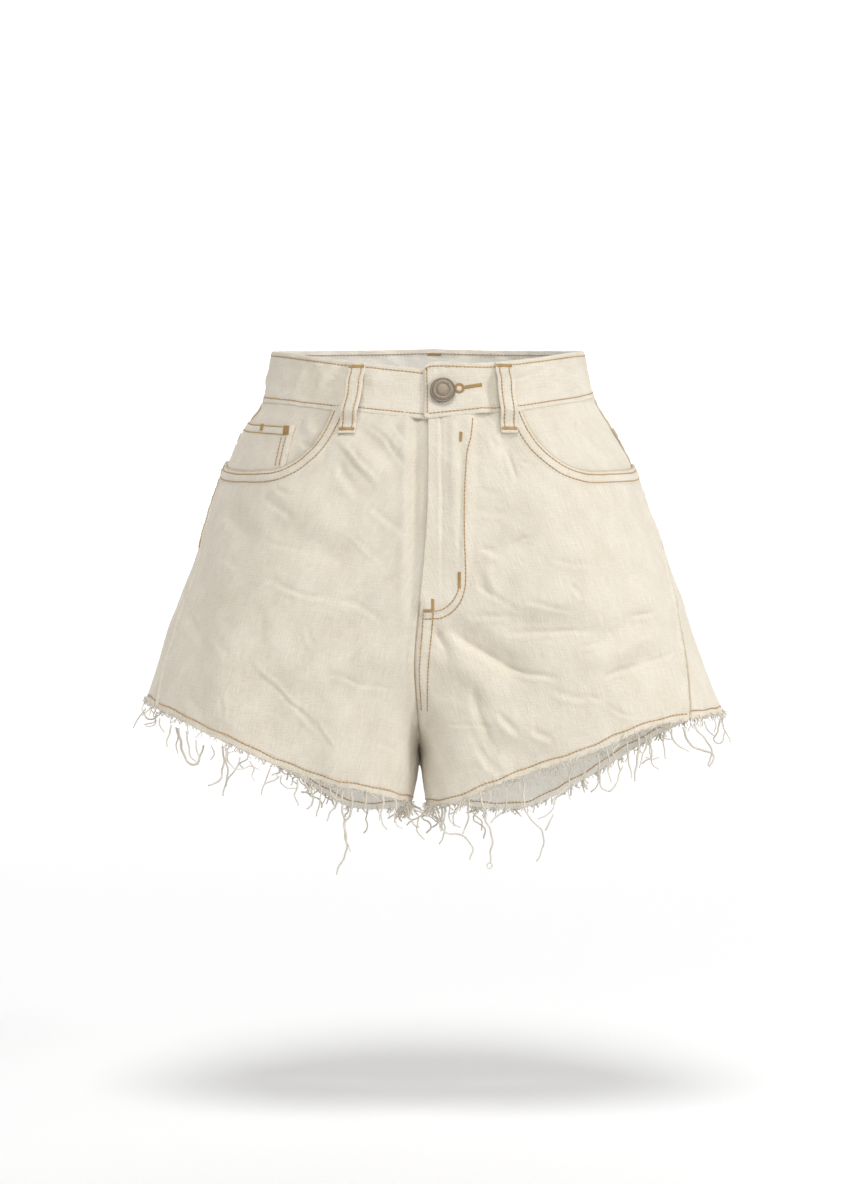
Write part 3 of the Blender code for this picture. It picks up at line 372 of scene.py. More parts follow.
BAND_EDGE = Seam(width=5.0, raised=0.0, roll=0.2, rows=(2.6,), pucker=0.26, pitch=7.0)
HEM_ROW = Seam(width=7.0, raised=0.0, roll=0.0, rows=(4.6,), pucker=0.35, pitch=10.0)
COIN_MOUTH = Seam(width=8.6, raised=0.6, roll=0.3, rows=(1.4, 7.8), pucker=0.2, pitch=6.0)
COIN_EDGE = Seam(width=3.6, raised=1.3, roll=0.3, rows=(4.4, 8.6), pucker=0.25, pitch=7.0)
POCKET_MOUTH = Seam(width=13.0, raised=0.6, roll=0.4, rows=(2.4, 11.4), pucker=0.2, pitch=8.0)
POCKET_EDGE = Seam(width=9.0, raised=0.6, roll=0.5, rows=(2.2, 8.4), pucker=0.22, pitch=7.0)

# Top-stitching seen on the front, as (x, z) places.
FLY_OUTER = (
    (32.8, -31), (31.6, -44), (28.6, -57), (27.4, -71), (26.4, -123), (27.1, -147), (26.7, -161),
    (23.9, -171), (18.0, -179), (9.8, -184), (-4.2, -185.4),
)
FLY_INNER = ((22.1, -162), (19.1, -168.8), (14.5, -174.5), (8.7, -178.2), (-5.3, -178.8))
CENTRE_LEFT = ((-5.0, -180), (-5.6, -192), (-7.0, -209), (-8.0, -229), (-7.1, -246), (-6.5, -256.5))
CENTRE_RIGHT = ((2.6, -180), (1.6, -192), (0.0, -209), (-1.6, -229), (-1.9, -246), (-2.0, -256.5))
SIDE_STITCH_END = -127.0  # the side seams are top-stitched from the pocket down to here
SIDE_TACK_Z = -87.0       # a second tack on the left side seam
BACK_TACK_X = (-2.0, 9.0)  # the centre back loop's tack, seen inside the band
BAND_END_STITCH = 2.6     # from the band's end to the row across it
EYE = (22.7, -7.9)        # the buttonhole's round end
EYE_RADIUS = 2.1
EYE_TACK = (27.0, -7.3, 39.6, -5.2)
Tack = namedtuple("Tack", "piece x1 z1 x2 z2 width", defaults=(2.2,))
FRONT_TACKS = (
    Tack("front_left", 23.8, -42.0, 23.4, -49.0),
    Tack("front_left", 22.4, -149.5, 22.4, -161.5),
    Tack("front_left", -5.0, -178.9, 2.2, -178.9),
    Tack("front_left", 2.2, -170.0, 2.2, -178.2),
    Tack("coin_pocket", -111.2, -35.8, -111.4, -42.6, 4.6),
    Tack("coin_pocket", -131.0, -31.4, -131.6, -38.2, 2.6),
)

# ---------------------------------------------------------------- smooth functions of the tables
def smooth_curve(knots, values):
    """A smooth function through the given points, straight beyond its ends."""
    order = np.argsort(knots)
    knots = np.asarray(knots, float)[order]
    values = np.asarray(values, float)[order]
    slopes = np.gradient(values, knots)

    def at(place):
        place = np.asarray(place, float)
        cell = np.clip(np.searchsorted(knots, place) - 1, 0, len(knots) - 2)
        span = knots[cell + 1] - knots[cell]
        share = (place - knots[cell]) / span
        h = np.clip(share, 0, 1)
        rise = h * h * (3 - 2 * h)
        value = values[cell] * (1 - rise) + values[cell + 1] * rise
        value = value + span * h * (1 - h) * ((1 - h) * slopes[cell] - h * slopes[cell + 1])
        beyond = (share - h) * span
        return value + beyond * np.where(share < 0, slopes[cell], slopes[cell + 1])

    return at


def column(rows, key, name):
    return smooth_curve([getattr(row, key) for row in rows], [getattr(row, name) for row in rows])


def smooth_step(value):
    value = np.clip(value, 0, 1)
    return value * value * (3 - 2 * value)


def bell(value):
    """1 in the middle, dying away smoothly to either side."""
    return np.exp(-value ** 2)


def mixed(first, last, share):
    return first + (last - first) * share


def unit(vectors):
    return vectors / np.maximum(np.linalg.norm(vectors, axis=-1, keepdims=True), 1e-9)


def for_sides(rows, key, name):
    """The columns of the right and the left half, whose names differ in one word."""
    return {RIGHT: column(rows, key, name.format("right")), LEFT: column(rows, key, name.format("left"))}


REACH = for_sides(SECTIONS, "z", "{}")
FRONT = column(SECTIONS, "z", "front")
BACK = column(SECTIONS, "z", "back")
CORNER = column(SECTIONS, "z", "corner")
INNER_CORNER = column(SECTIONS, "z", "inner_corner")
FLAT = column(SECTIONS, "z", "flat")
CENTRE_FRONT = column(CENTRES, "z", "front")
CENTRE_BACK = column(CENTRES, "z", "back")
BAND_TOP = column(BAND, "p", "top")
WAIST_SEAM = for_sides(BAND, "p", "{}_seam")
HEM_FRONT = for_sides(HEM, "across", "{}_front")
HEM_BACK = for_sides(HEM, "across", "{}_back")
SIDE_P = for_sides(SIDE_SEAM, "z", "{}")


# ---------------------------------------------------------------- the garment's form
def crotch_share(z, turn_z):
    """1 above the crotch curve, falling along a quarter ellipse to 0 at the crotch point."""
    below = np.clip((turn_z - z) / (turn_z - FORK_Z), 0, 1)
    return np.sqrt(np.clip(1 - below * below, 0, 1))


def corner_point(angle, squareness):
    """A point of a rounded square of half-width 1, in the direction of the angle."""
    c = np.abs(np.cos(angle))
    s = np.abs(np.sin(angle))
    radius = (c ** squareness + s ** squareness) ** (-1 / squareness)
    return radius * c, radius * s


def form(side, p, z):
    """The outer face of the smooth, unfolded garment, as an array of points."""
    p, z = np.broadcast_arrays(np.asarray(p, float), np.asarray(z, float))
    is_back = p > 0.5
    along = np.clip(np.where(is_back, 1 - p, p) * 2, 0, 1)
    depth = np.where(is_back, BACK(z), FRONT(z))
    share = np.where(is_back, crotch_share(z, BACK_TURN_Z), crotch_share(z, FRONT_TURN_Z))
    below = np.clip(FORK_Z - z, 0, None)
    parted = LEG_SPREAD[side] * below ** 2 / (below + SPREAD_SOFT)
    centre = np.where(is_back, CENTRE_BACK(z), CENTRE_FRONT(z))
    flat = FLAT(z)
    reach = REACH[side](z)
    inner = INNER_CORNER(z)

    inner_length = flat + CORNER_CUT * (1 - share ** 4) * np.abs(depth - FORK_Y)
    outer_length = CORNER_CUT * (reach - flat + np.abs(depth))
    split = inner_length / (inner_length + outer_length)

    cut = np.clip((1 - share ** inner), 1e-9, 1) ** (1 / inner)
    start = np.arctan2(share, cut)
    inner_share = np.clip(along / split, 0, 1)
    crowding = 1 + 3 * (1 - start / (math.pi / 2)) ** 2
    angle = math.pi / 2 * inner_share + start * (1 - inner_share) ** crowding
    run, rise = corner_point(angle, inner)
    x_inner = centre + side * (flat * (cut - run) / cut + parted * (1 - inner_share) ** 2)
    y_inner = FORK_Y + (depth - FORK_Y) * rise

    angle = math.pi / 2 * (1 - np.clip((along - split) / (1 - split), 0, 1))
    run, rise = corner_point(angle, CORNER(z))
    edge = centre + side * flat
    x_outer = edge + (side * reach - edge) * run
    y_outer = depth * rise

    is_inner = along < split
    x = np.where(is_inner, x_inner, x_outer)
    y = np.where(is_inner, y_inner, y_outer)
    return np.stack([x, y, z], axis=-1)


def beside(line, x, z):
    """How far places lie along and across a line from (x1, z1) to (x2, z2), and its length."""
    run = np.array([line.x2 - line.x1, line.z2 - line.z1])
    length = np.hypot(*run)
    run = run / length
    x, z = x - line.x1, z - line.z1
    return x * run[0] + z * run[1], x * run[1] - z * run[0], length


def fold_height(points, normal):
    """The folds' ridges and troughs, measured out from the form; flat on the leg's inner side."""
    x, y, z = points[..., 0], points[..., 1], points[..., 2]
    total = np.zeros_like(x)
    towards = smooth_step((np.abs(normal[..., 1]) - 0.2) / 0.5)
    for fold in FOLDS:
        along, across, length = beside(fold, x, z)
        fade = smooth_step(along / (0.35 * length)) * smooth_step((length - along) / (0.35 * length))
        total += fold.height * fade * bell(across / fold.width) * towards * (fold.face * y > 0)
    return total


def fly_lift(side, points):
    """The left front rises where it lies over the right front, down to the foot of the fly."""
    x, y, z = points[..., 0], points[..., 1], points[..., 2]
    if side == RIGHT:
        return np.zeros_like(x)
    across = np.clip(x - CENTRE_FRONT(z), 0, None)
    below = np.clip(FLY_BOTTOM_Z + FLY_WIDTH - z, 0, None)
    lift = smooth_step((FLY_WIDTH + FLY_SOFT - np.hypot(across, below)) / FLY_SOFT)
    return FLY_LIFT * lift * (y < 0)


def p_at(side, face, x, z):
    """Place round a half where the front (face -1) or the back (face 1) passes x."""
    places = np.linspace(0, 0.5, 400)
    if face > 0:
        places = 1 - places
    reached = side * form(side, places, z)[:, 0]
    return float(np.interp(side * x, reached, places))


def hem_height(side, p):
    """Height of the cut edge at a place round a leg."""
    points = form(side, p, HEM_LEVEL)
    inseam_x = side * form(side, 0.0, HEM_LEVEL)[0]
    across = (side * points[..., 0] - inseam_x) / (REACH[side](HEM_LEVEL) - inseam_x)
    front_y, back_y = FRONT(HEM_LEVEL), BACK(HEM_LEVEL)
    towards_back = smooth_step((points[..., 1] - front_y) / (back_y - front_y))
    return (1 - towards_back) * HEM_FRONT[side](across) + towards_back * HEM_BACK[side](across)


# ---------------------------------------------------------------- the cloth laid flat
def table_heights():
    """Heights half a mm apart, and closer just above the crotch point, where the seam lies flat."""
    shares = np.linspace(0, 0.5, 90)
    close = [mixed(FORK_Z, turn_z, 1 - np.sqrt(1 - shares ** 2)) for turn_z in (FRONT_TURN_Z, BACK_TURN_Z)]
    return np.unique(np.round(np.concatenate([np.arange(LOWEST_Z, HIGHEST_Z, 0.5), *close]), 6))


LOWEST_Z, HIGHEST_Z = -356.0, 44.0
TABLE_Z = table_heights()
TABLE_P = np.linspace(0, 1, 601)
TABLE_FLAT = np.arange(-450.0, 450.5, 1.0)


def walked_length(points):
    steps = np.linalg.norm(np.diff(points, axis=0), axis=1)
    return np.concatenate([[0], np.cumsum(steps)])


def flat_tables(side):
    """At each height: the distance of each p from the side line, in mm of cloth, and the other way round."""
    points = form(side, TABLE_P, TABLE_Z[:, None])
    steps = np.linalg.norm(np.diff(points, axis=1), axis=-1)
    walked = np.concatenate([np.zeros((len(TABLE_Z), 1)), np.cumsum(steps, axis=1)], axis=1)
    flat = walked - walked[:, len(TABLE_P) // 2, None]
    return flat, np.array([np.interp(TABLE_FLAT, row, TABLE_P) for row in flat])


FLAT_TABLES = {side: flat_tables(side) for side in (RIGHT, LEFT)}


def sample(values, across, z):
    """A value of a grid of heights and places, blended between its four nearest."""
    across, z = np.broadcast_arrays(across, z)
    row = np.clip(np.searchsorted(TABLE_Z, z) - 1, 0, len(TABLE_Z) - 2)
    across = np.clip(across * (values.shape[1] - 1), 0, values.shape[1] - 1.001)
    place = across.astype(int)
    up_share = np.clip((z - TABLE_Z[row]) / (TABLE_Z[row + 1] - TABLE_Z[row]), 0, 1)
    across_share = across - place
    near = mixed(values[row, place], values[row, place + 1], across_share)
    far = mixed(values[row + 1, place], values[row + 1, place + 1], across_share)
    return mixed(near, far, up_share)


def to_flat(side, p, z):
    """Distance of places from the side line, in mm: below 0 on the front, above 0 on the back."""
    return sample(FLAT_TABLES[side][0], p, z)


def from_flat(side, flat, z):
    return sample(FLAT_TABLES[side][1], (flat - TABLE_FLAT[0]) / (TABLE_FLAT[-1] - TABLE_FLAT[0]), z)


def flat_form(side, flat, z):
    return form(side, from_flat(side, flat, z), z)


def outward(side, p, z):
    """The form's unit normal, pointing away from the body."""
    flat = to_flat(side, p, z)
    round_it = flat_form(side, flat + 1, z) - flat_form(side, flat - 1, z)
    down_it = flat_form(side, flat, z - 1) - flat_form(side, flat, z + 1)
    return unit(-side * np.cross(round_it, down_it))


def flat_points(side, p, z):
    """(round, up) of places on the cloth, in mm of cloth, from the side line."""
    p, z = np.broadcast_arrays(p, z)
    return np.stack([to_flat(side, p, z), z], axis=-1)


def relaxed(grid, rounds):
    """Evens out a grid of flat points between its fixed borders, so that its lines never cross."""
    for _ in range(rounds):
        across = (grid[1:-1, 2:] - grid[1:-1, :-2]) / 2
        down = (grid[2:, 1:-1] - grid[:-2, 1:-1]) / 2
        a = np.sum(down * down, axis=-1, keepdims=True)
        b = np.sum(across * down, axis=-1, keepdims=True)
        c = np.sum(across * across, axis=-1, keepdims=True)
        twist = (grid[2:, 2:] - grid[2:, :-2] - grid[:-2, 2:] + grid[:-2, :-2]) / 4
        sides = a * (grid[1:-1, 2:] + grid[1:-1, :-2]) + c * (grid[2:, 1:-1] + grid[:-2, 1:-1])
        grid[1:-1, 1:-1] = (sides - 2 * b * twist) / (2 * (a + c))
    return grid


def along_line(line, places, at):
    """Points of a line at the given places, from its points at other places."""
    return np.stack([np.interp(at, places, line[:, axis]) for axis in range(line.shape[1])], axis=-1)


def between(top, bottom, first, last, across, down):
    """Points between four border lines, blended from all of them."""
    u, v = across[None, :, None], down[:, None, None]
    corners = mixed(mixed(top[0], top[-1], u), mixed(bottom[0], bottom[-1], u), v)
    return mixed(first[:, None], last[:, None], u) + mixed(top[None], bottom[None], v) - corners


def blended(grid, places_across, places_down, across, down):
    """A coarse grid's points at finer places."""
    wide = np.stack([along_line(row, places_across, across) for row in grid])
    return np.stack([along_line(wide[:, column], places_down, down) for column in range(len(across))], axis=1)


# ---------------------------------------------------------------- outlines of the pieces
def centre_heights(face, top_z, hem_z, steps):
    """Heights down a centre line and the inseam, evenly spaced along the cloth."""
    depth, turn_z = (FRONT, FRONT_TURN_Z) if face < 0 else (BACK, BACK_TURN_Z)
    fine = np.linspace(0, 1, 4000)
    fork = (top_z - FORK_Z) / (top_z - hem_z)
    above = mixed(top_z, FORK_Z, np.sin(fine / fork * math.pi / 2))
    z = np.where(fine < fork, above, mixed(FORK_Z, hem_z, (fine - fork) / (1 - fork)))
    y = mixed(FORK_Y, depth(z), crotch_share(z, turn_z))
    walked = walked_length(np.stack([y, z], axis=-1))
    return np.interp(steps * walked[-1], walked, z)


def fill(side, face, top_p, top_z, bottom_ends, share, steps):
    """The grid of (p, z) between a piece's top edge and the hem; column 0 lies on the centre line."""
    hem_p = np.linspace(*bottom_ends, 400)
    hem = flat_points(side, hem_p, hem_height(side, hem_p))
    top = flat_points(side, top_p, top_z)
    bottom = along_line(hem, walked_length(hem) / walked_length(hem)[-1], share)
    centre = flat_points(side, bottom_ends[0], centre_heights(face, top_z[0], bottom[0, 1], steps))
    seam_z = mixed(top_z[-1], bottom[-1, 1], steps)
    seam_p = SIDE_P[side](seam_z) + face * SEAM_STEP
    seam = flat_points(side, seam_p, seam_z)

    across, down = np.linspace(0, 1, 50), np.linspace(0, 1, 40)
    lines = [along_line(line, share, across) for line in (top, bottom)]
    lines += [along_line(line, steps, down) for line in (centre, seam)]
    coarse = relaxed(between(*lines, across, down), 1500)
    grid = blended(coarse, across, down, share, steps)
    missing = (top - grid[0], bottom - grid[-1], centre - grid[:, 0], seam - grid[:, -1])
    grid = grid + between(*missing, share, steps)
    p = from_flat(side, grid[..., 0], grid[..., 1])
    p[:, 0], p[:, -1] = bottom_ends[0], seam_p
    return p, grid[..., 1]


def hem_seam(side):
    """Place of the side seam where it meets the cut edge."""
    place = 0.45
    for _ in range(6):
        place = float(SIDE_P[side](hem_height(side, place)))
    return place


def scoop_start(side):
    return p_at(side, -1, SCOOPS[side].start_x, -24)


def scoop_edge(side, share):
    """A pocket opening's edge: (p, z) at shares 0 to 1 of the way to the side seam."""
    scoop = SCOOPS[side]
    start = scoop_start(side)
    lowest = p_at(side, -1, scoop.lowest_x, scoop.lowest_z)
    top_z = WAIST_SEAM[side](start) - SEAM_GAP / 2
    angle = math.pi / 2 * np.clip(share / SCOOP_ROUND, 0, 1)
    rest = np.clip((share - SCOOP_ROUND) / (1 - SCOOP_ROUND), 0, 1)
    end = SIDE_P[side](scoop.end_z) - SEAM_STEP
    p = mixed(start, lowest, 1 - np.cos(angle)) + (end - lowest) * rest
    z = mixed(top_z, scoop.lowest_z, np.sin(angle)) + (scoop.end_z - scoop.lowest_z) * rest ** 2
    return p, z


def front_outline(side, share, down):
    """(p, z) grid of a front panel, whose top edge follows the waistband and then the pocket."""
    waist_p = SEAM_STEP + (scoop_start(side) - SEAM_STEP) * np.clip(share / WAIST_SHARE, 0, 1)
    waist_z = WAIST_SEAM[side](waist_p) - SEAM_GAP / 2
    scoop_p, scoop_z = scoop_edge(side, np.clip((share - WAIST_SHARE) / (1 - WAIST_SHARE), 0, 1))
    top_p = np.where(share <= WAIST_SHARE, waist_p, scoop_p)
    top_z = np.where(share <= WAIST_SHARE, waist_z, scoop_z)
    hem_side = hem_seam(side) - SEAM_STEP
    return fill(side, -1, top_p, top_z, (SEAM_STEP, hem_side), share, down)


def yoke_seam(side, p):
    """Height of the seam below the yoke."""
    return WAIST_SEAM[side](p) - mixed(YOKE_AT_SIDE, YOKE_AT_BACK, (p - 0.5) / 0.5)


def back_outline(side, share, down):
    """(p, z) grid of a back panel, from the back centre line to the side seam."""
    top_p = 1 - SEAM_STEP - (0.5 - 2 * SEAM_STEP) * share
    top_z = yoke_seam(side, top_p) - SEAM_GAP / 2
    hem_side = hem_seam(side) + SEAM_STEP
    return fill(side, 1, top_p, top_z, (1 - SEAM_STEP, hem_side), share, down)


# ---------------------------------------------------------------- finer form of the cloth
def graded(count, closer=0.4, margin=0.09):
    """Shares from 0 to 1, closer together near both ends."""
    even = np.linspace(0, 1, 2001)
    spacing = mixed(closer, 1, smooth_step(np.minimum(even, 1 - even) / margin))
    walked = np.concatenate([[0], np.cumsum(1 / spacing[1:])])
    return np.interp(np.linspace(0, 1, count + 1), walked / walked[-1], even)


def unevenness(points, size, strength, seed):
    """Soft noise of the cloth's surface, in mm, with lumps of about the given size."""
    flat = points.reshape(-1, 3) / size
    values = [noise.noise(Vector(spot) + Vector((seed, 0, 0))) for spot in flat.tolist()]
    return strength * np.array(values).reshape(points.shape[:-1])


def crease_height(points, normal):
    """The finer creases, sharper than the folds and uneven along their length."""
    stray_x, stray_z = unevenness(points, 24, 3.5, 40.0), unevenness(points, 21, 3.5, 60.0)
    x, y, z = points[..., 0], points[..., 1], points[..., 2]
    total = np.zeros_like(y)
    towards = smooth_step((np.abs(normal[..., 1]) - 0.15) / 0.4)
    for crease in CREASES:
        along, across, length = beside(crease, x + crease.stray * stray_x, z + crease.stray * stray_z)
        across = across - crease.bow * np.sin(np.clip(along / length, 0, 1) * math.pi)
        fade = smooth_step(along / (0.3 * length)) * smooth_step((length - along) / (0.45 * length))
        shape = bell(across / crease.width) - 0.45 * bell(across / crease.width - 1.7)
        total += crease.height * fade * shape * towards * (crease.face * y > 0)
    return total


def panel_lumps(points, normal):
    """The folds and the soft lumps that every panel shares."""
    stretched = points * (1.0, 1.0, 0.62)
    lumps = unevenness(points, 34, 1.2, 3.0) + unevenness(stretched, 17, 0.85, 9.0)
    return fold_height(points, normal) + lumps + unevenness(points, 8, 0.28, 31.0)


def soft_height(side, points, normal):
    """Everything that moves both faces of the cloth out or in together."""
    return panel_lumps(points, normal) + crease_height(points, normal) + fly_lift(side, points)


def nearest_on(line, points):
    """Distance of each point to a line of closely spaced points, and the line's number there."""
    tree = KDTree(len(line))
    for number, spot in enumerate(line.tolist()):
        tree.insert(spot, number)
    tree.balance()
    found = [tree.find(spot)[1:] for spot in points.reshape(-1, 3).tolist()]
    number, distance = (np.array(values).reshape(points.shape[:-1]) for values in zip(*found))
    return distance, number


def seam_relief(line, points, seam):
    """Height a seam gives the cloth beside it (layers, rows pulled in, puckers), and the painted shade along
    its groove.
    """
    distance, number = nearest_on(line, points)
    along = walked_length(line)[number]
    raised = seam.raised * smooth_step((seam.width + 1.5 - distance) / 2.2)
    rolled = seam.roll * bell(distance / 1.4)
    rows = sum(0.38 * bell((distance - row) / 0.9) for row in seam.rows)
    wave = np.sin(along / seam.pitch * 2 * math.pi + 1.7 * np.sin(along / 11.0) + 0.9 * np.sin(along / 4.7))
    strength = 0.6 + 0.4 * np.sin(along / 23.0 + 1.0)
    ruffle = seam.pucker * wave * strength * bell((distance - seam.width / 2) / (0.75 * seam.width))
    # The second value is painted shade, darkest at the seam's very edge.
    return raised - rolled - rows + ruffle, bell(distance / 1.3) * min(seam.roll, 1.0)


def seams_relief(lines, points):
    """The heights of several seams together, and the strongest painted shade along their grooves."""
    detail = grooves = np.zeros(points.shape[:-1])
    for line, seam in lines:
        relief, painted_shading = seam_relief(line, points, seam)
        detail = detail + relief
        grooves = np.maximum(grooves, painted_shading)
    return detail, grooves


# ---------------------------------------------------------------- meshes
def placed(name, data):
    made = bpy.data.objects.new(name, data)
    bpy.context.scene.collection.objects.link(made)
    return made


def turn_faces_out(mesh):
    work = bmesh.new()
    work.from_mesh(mesh)
    bmesh.ops.recalc_face_normals(work, faces=work.faces)
    work.to_mesh(mesh)
    work.free()


def grid_quads(grid):
    return np.stack([grid[:-1, :-1], grid[:-1, 1:], grid[1:, 1:], grid[1:, :-1]], axis=-1).reshape(-1, 4)


def rim_loop(grid):
    """Numbers of a grid's border points, in order, each with the number of the point inside it."""
    border = [*grid[0, :-1], *grid[:-1, -1], *grid[-1, :0:-1], *grid[:0:-1, 0]]
    inside = [*grid[1, :-1], *grid[:-1, -2], *grid[-2, :0:-1], *grid[:0:-1, 1]]
    return np.array(border), np.array(inside)


PIECES = {}
Piece = namedtuple("Piece", "object tree inner_tree")


def add_shell(name, outer, inner, uv, bulge=1.0, rim_cells=5, grooves=None):
    """A closed wall of cloth between two grids of points, its edge rounded by the share bulge."""
    count = outer.shape[0] * outer.shape[1]
    grid = np.arange(count).reshape(outer.shape[:2])
    border, inside = rim_loop(grid)
    top, bottom = outer.reshape(-1, 3), inner.reshape(-1, 3)
    middle = (top[border] + bottom[border]) / 2
    half = (top[border] - bottom[border]) / 2
    away = top[border] - top[inside]
    away = away + np.roll(away, 1, axis=0) + np.roll(away, -1, axis=0)
    away = away - half * (np.sum(away * half, axis=1) / np.sum(half * half, axis=1))[:, None]
    away = unit(away) * np.linalg.norm(half, axis=1, keepdims=True) * bulge
    angles = math.pi * np.arange(1, rim_cells) / rim_cells
    rims = [middle + half * math.cos(angle) + away * math.sin(angle) for angle in angles]
    loops = [border] + [2 * count + step * len(border) + np.arange(len(border)) for step in range(len(rims))]
    loops.append(border + count)
    quads = grid_quads(grid)
    faces = [quads, quads[:, ::-1] + count]
    for first, second in zip(loops, loops[1:]):
        faces.append(np.stack([np.roll(first, -1), first, second, np.roll(second, -1)], axis=-1))
    flat_uv = uv.reshape(-1, 2)
    all_uv = np.concatenate([flat_uv, flat_uv] + [flat_uv[border]] * len(rims))
    made = mesh_object(name, np.concatenate([top, bottom, *rims]), np.concatenate(faces), all_uv)
    # Painted shade along the seams' grooves on the outer face and the rim; the inner face gets INSIDE, which
    # marks it for painted light.
    painted_groove_shade = np.zeros(count) if grooves is None else grooves.ravel()
    shade = np.concatenate([painted_groove_shade, np.full(count, INSIDE), np.tile(painted_groove_shade[border], len(rims))])
    made.data.attributes.new("painted_shading", "FLOAT", "POINT").data.foreach_set("value", shade)
    trees = [BVHTree.FromPolygons(face.tolist(), quads.tolist()) for face in (top, bottom)]
    PIECES[name] = Piece(made, *trees)


def mesh_object(name, points, faces, uv):
    """A smooth-shaded object from points in mm, with its UV map in metres of cloth."""
    mesh = bpy.data.meshes.new(name)
    mesh.vertices.add(len(points))
    mesh.vertices.foreach_set("co", (points * MM).ravel())
    mesh.loops.add(faces.size)
    mesh.loops.foreach_set("vertex_index", faces.ravel())
    mesh.polygons.add(len(faces))
    mesh.polygons.foreach_set("loop_start", np.arange(0, faces.size, faces.shape[1]))
    mesh.polygons.foreach_set("use_smooth", np.ones(len(faces), bool))
    mesh.update(calc_edges=True)
    layer = mesh.uv_layers.new(name="cloth")
    layer.data.foreach_set("uv", (uv[faces.ravel()] * MM).ravel())
    turn_faces_out(mesh)
    return placed(name + "_cloth", mesh)


def grid_normal(side, base):
    """Unit normals of a grid of points, pointing away from the middle of that half of the garment."""
    normal = unit(np.cross(np.gradient(base, axis=1), np.gradient(base, axis=0)))
    facing = np.sum(normal * (base - (side * 100.0, 0.0, 0.0)) * (1, 1, 0), axis=-1)
    return normal * (1 if np.median(facing) > 0 else -1)


def finer_places(p, z, count):
    """p and z of closely spaced places on a line of places."""
    places = np.stack([p, z], axis=-1)
    return along_line(places, np.linspace(0, 1, len(places)), np.linspace(0, 1, count)).T


def panel(name, side, p, z, seams, out=0.0, thick=CLOTH, tuck=0.0):
    """A piece of cloth on the garment's form, with its folds, creases and seams, given as (p, z, seam)."""
    base = form(side, p, z)
    normal = grid_normal(side, base)
    middle = base + normal * (soft_height(side, base, normal) + out + tuck)[..., None]
    lines = [(form(side, *finer_places(*line, 900)), seam) for *line, seam in seams]
    detail, grooves = seams_relief(lines, base)
    outer = middle + normal * detail[..., None]
    inner = middle - normal * (thick - 0.25 * np.minimum(detail, 0))[..., None]
    add_shell(name, outer, inner, flat_points(side, p, z) * (side, 1), grooves=grooves)


def side_name(stem, side):
    return f"{stem}_{'left' if side == LEFT else 'right'}"


BORDERS = {"top": np.s_[0], "bottom": np.s_[-1], "first": np.s_[:, 0], "last": np.s_[:, -1]}


def edges(p, z, **seams):
    """(p, z, seam) along the named borders of a grid of places."""
    return [(p[BORDERS[border]], z[BORDERS[border]], seam) for border, seam in seams.items()]


def band_seam(side, p):
    return p, WAIST_SEAM[side](p), BAND_SEAM


CENTRE_SEAM = {RIGHT: PLAIN_SEAM, LEFT: FLAT_FELL}  # the left half lies over the right in each centre seam


def add_fronts():
    across = np.concatenate([graded(75) * WAIST_SHARE, mixed(WAIST_SHARE, 1, graded(125)[1:])])
    down = graded(176)
    for side in (RIGHT, LEFT):
        p, z = front_outline(side, across, down)
        seams = [(*scoop_edge(side, np.linspace(0, 1, 300)), DOUBLE_ROW)]
        seams += edges(p, z, last=SIDE_ROW if side == LEFT else SIDE_RIDGE, bottom=HEM_ROW)
        below_fly = z[:, 0] < FLY_BOTTOM_Z + 4
        seams.append((p[below_fly, 0], z[below_fly, 0], CENTRE_SEAM[side]))
        seams.append(band_seam(side, np.linspace(0, scoop_start(side), 40)))
        under_band = across <= WAIST_SHARE
        z = z + TUCK * under_band * (1 - smooth_step(down / 0.02))[:, None]
        panel(side_name("front", side), side, p, z, seams)


def add_backs():
    across, down = graded(136), graded(114)
    for side in (RIGHT, LEFT):
        p, z = back_outline(side, across, down)
        seams = edges(p, z, first=CENTRE_SEAM[side], last=PLAIN_SEAM, top=PLAIN_SEAM, bottom=HEM_ROW)
        panel(side_name("back", side), side, p, z, seams)


def add_yokes():
    for side in (RIGHT, LEFT):
        p = 0.5 + SEAM_STEP + (0.5 - 2 * SEAM_STEP) * graded(104)
        z = mixed(WAIST_SEAM[side](p) + TUCK, yoke_seam(side, p) + SEAM_GAP / 2, graded(38)[:, None])
        p = np.broadcast_to(p, z.shape)
        seams = edges(p, z, bottom=FLAT_FELL, first=PLAIN_SEAM, last=CENTRE_SEAM[side])
        panel(side_name("yoke", side), side, p, z, seams + [band_seam(side, p[0])])


def add_pocket_facings():
    """The cloth that shows in the front pocket openings, tucked into the waistband above."""
    share = graded(84)
    for side in (RIGHT, LEFT):
        p = mixed(scoop_start(side) - FACING_INSIDE_P, 0.5 - SEAM_STEP, share)
        bottom = SCOOPS[side].lowest_z - mixed(*FACING_BELOW, share)
        z = mixed(WAIST_SEAM[side](p) + TUCK, bottom, graded(50)[:, None])
        p = np.broadcast_to(p, z.shape)
        tuck = (FACING_BEHIND - 0.3) * (1 - smooth_step((WAIST_SEAM[side](p) - z + 1) / 9))
        name, seams = side_name("pocket_facing", side), [band_seam(side, p[0])]
        panel(name, side, p, z, seams, -FACING_BEHIND, FLY_LAYER, tuck)


def coin_corners():
    """p of the coin pocket's inner edge, at its top and at its bottom, and of its side edge."""
    inner_top = p_at(RIGHT, FRONT_FACE, COIN_INNER_X[0], COIN_TOP_Z[0])
    inner_bottom = p_at(RIGHT, FRONT_FACE, COIN_INNER_X[1], SCOOPS[RIGHT].lowest_z)
    return inner_top, inner_bottom, 0.5 - 2 * SEAM_STEP


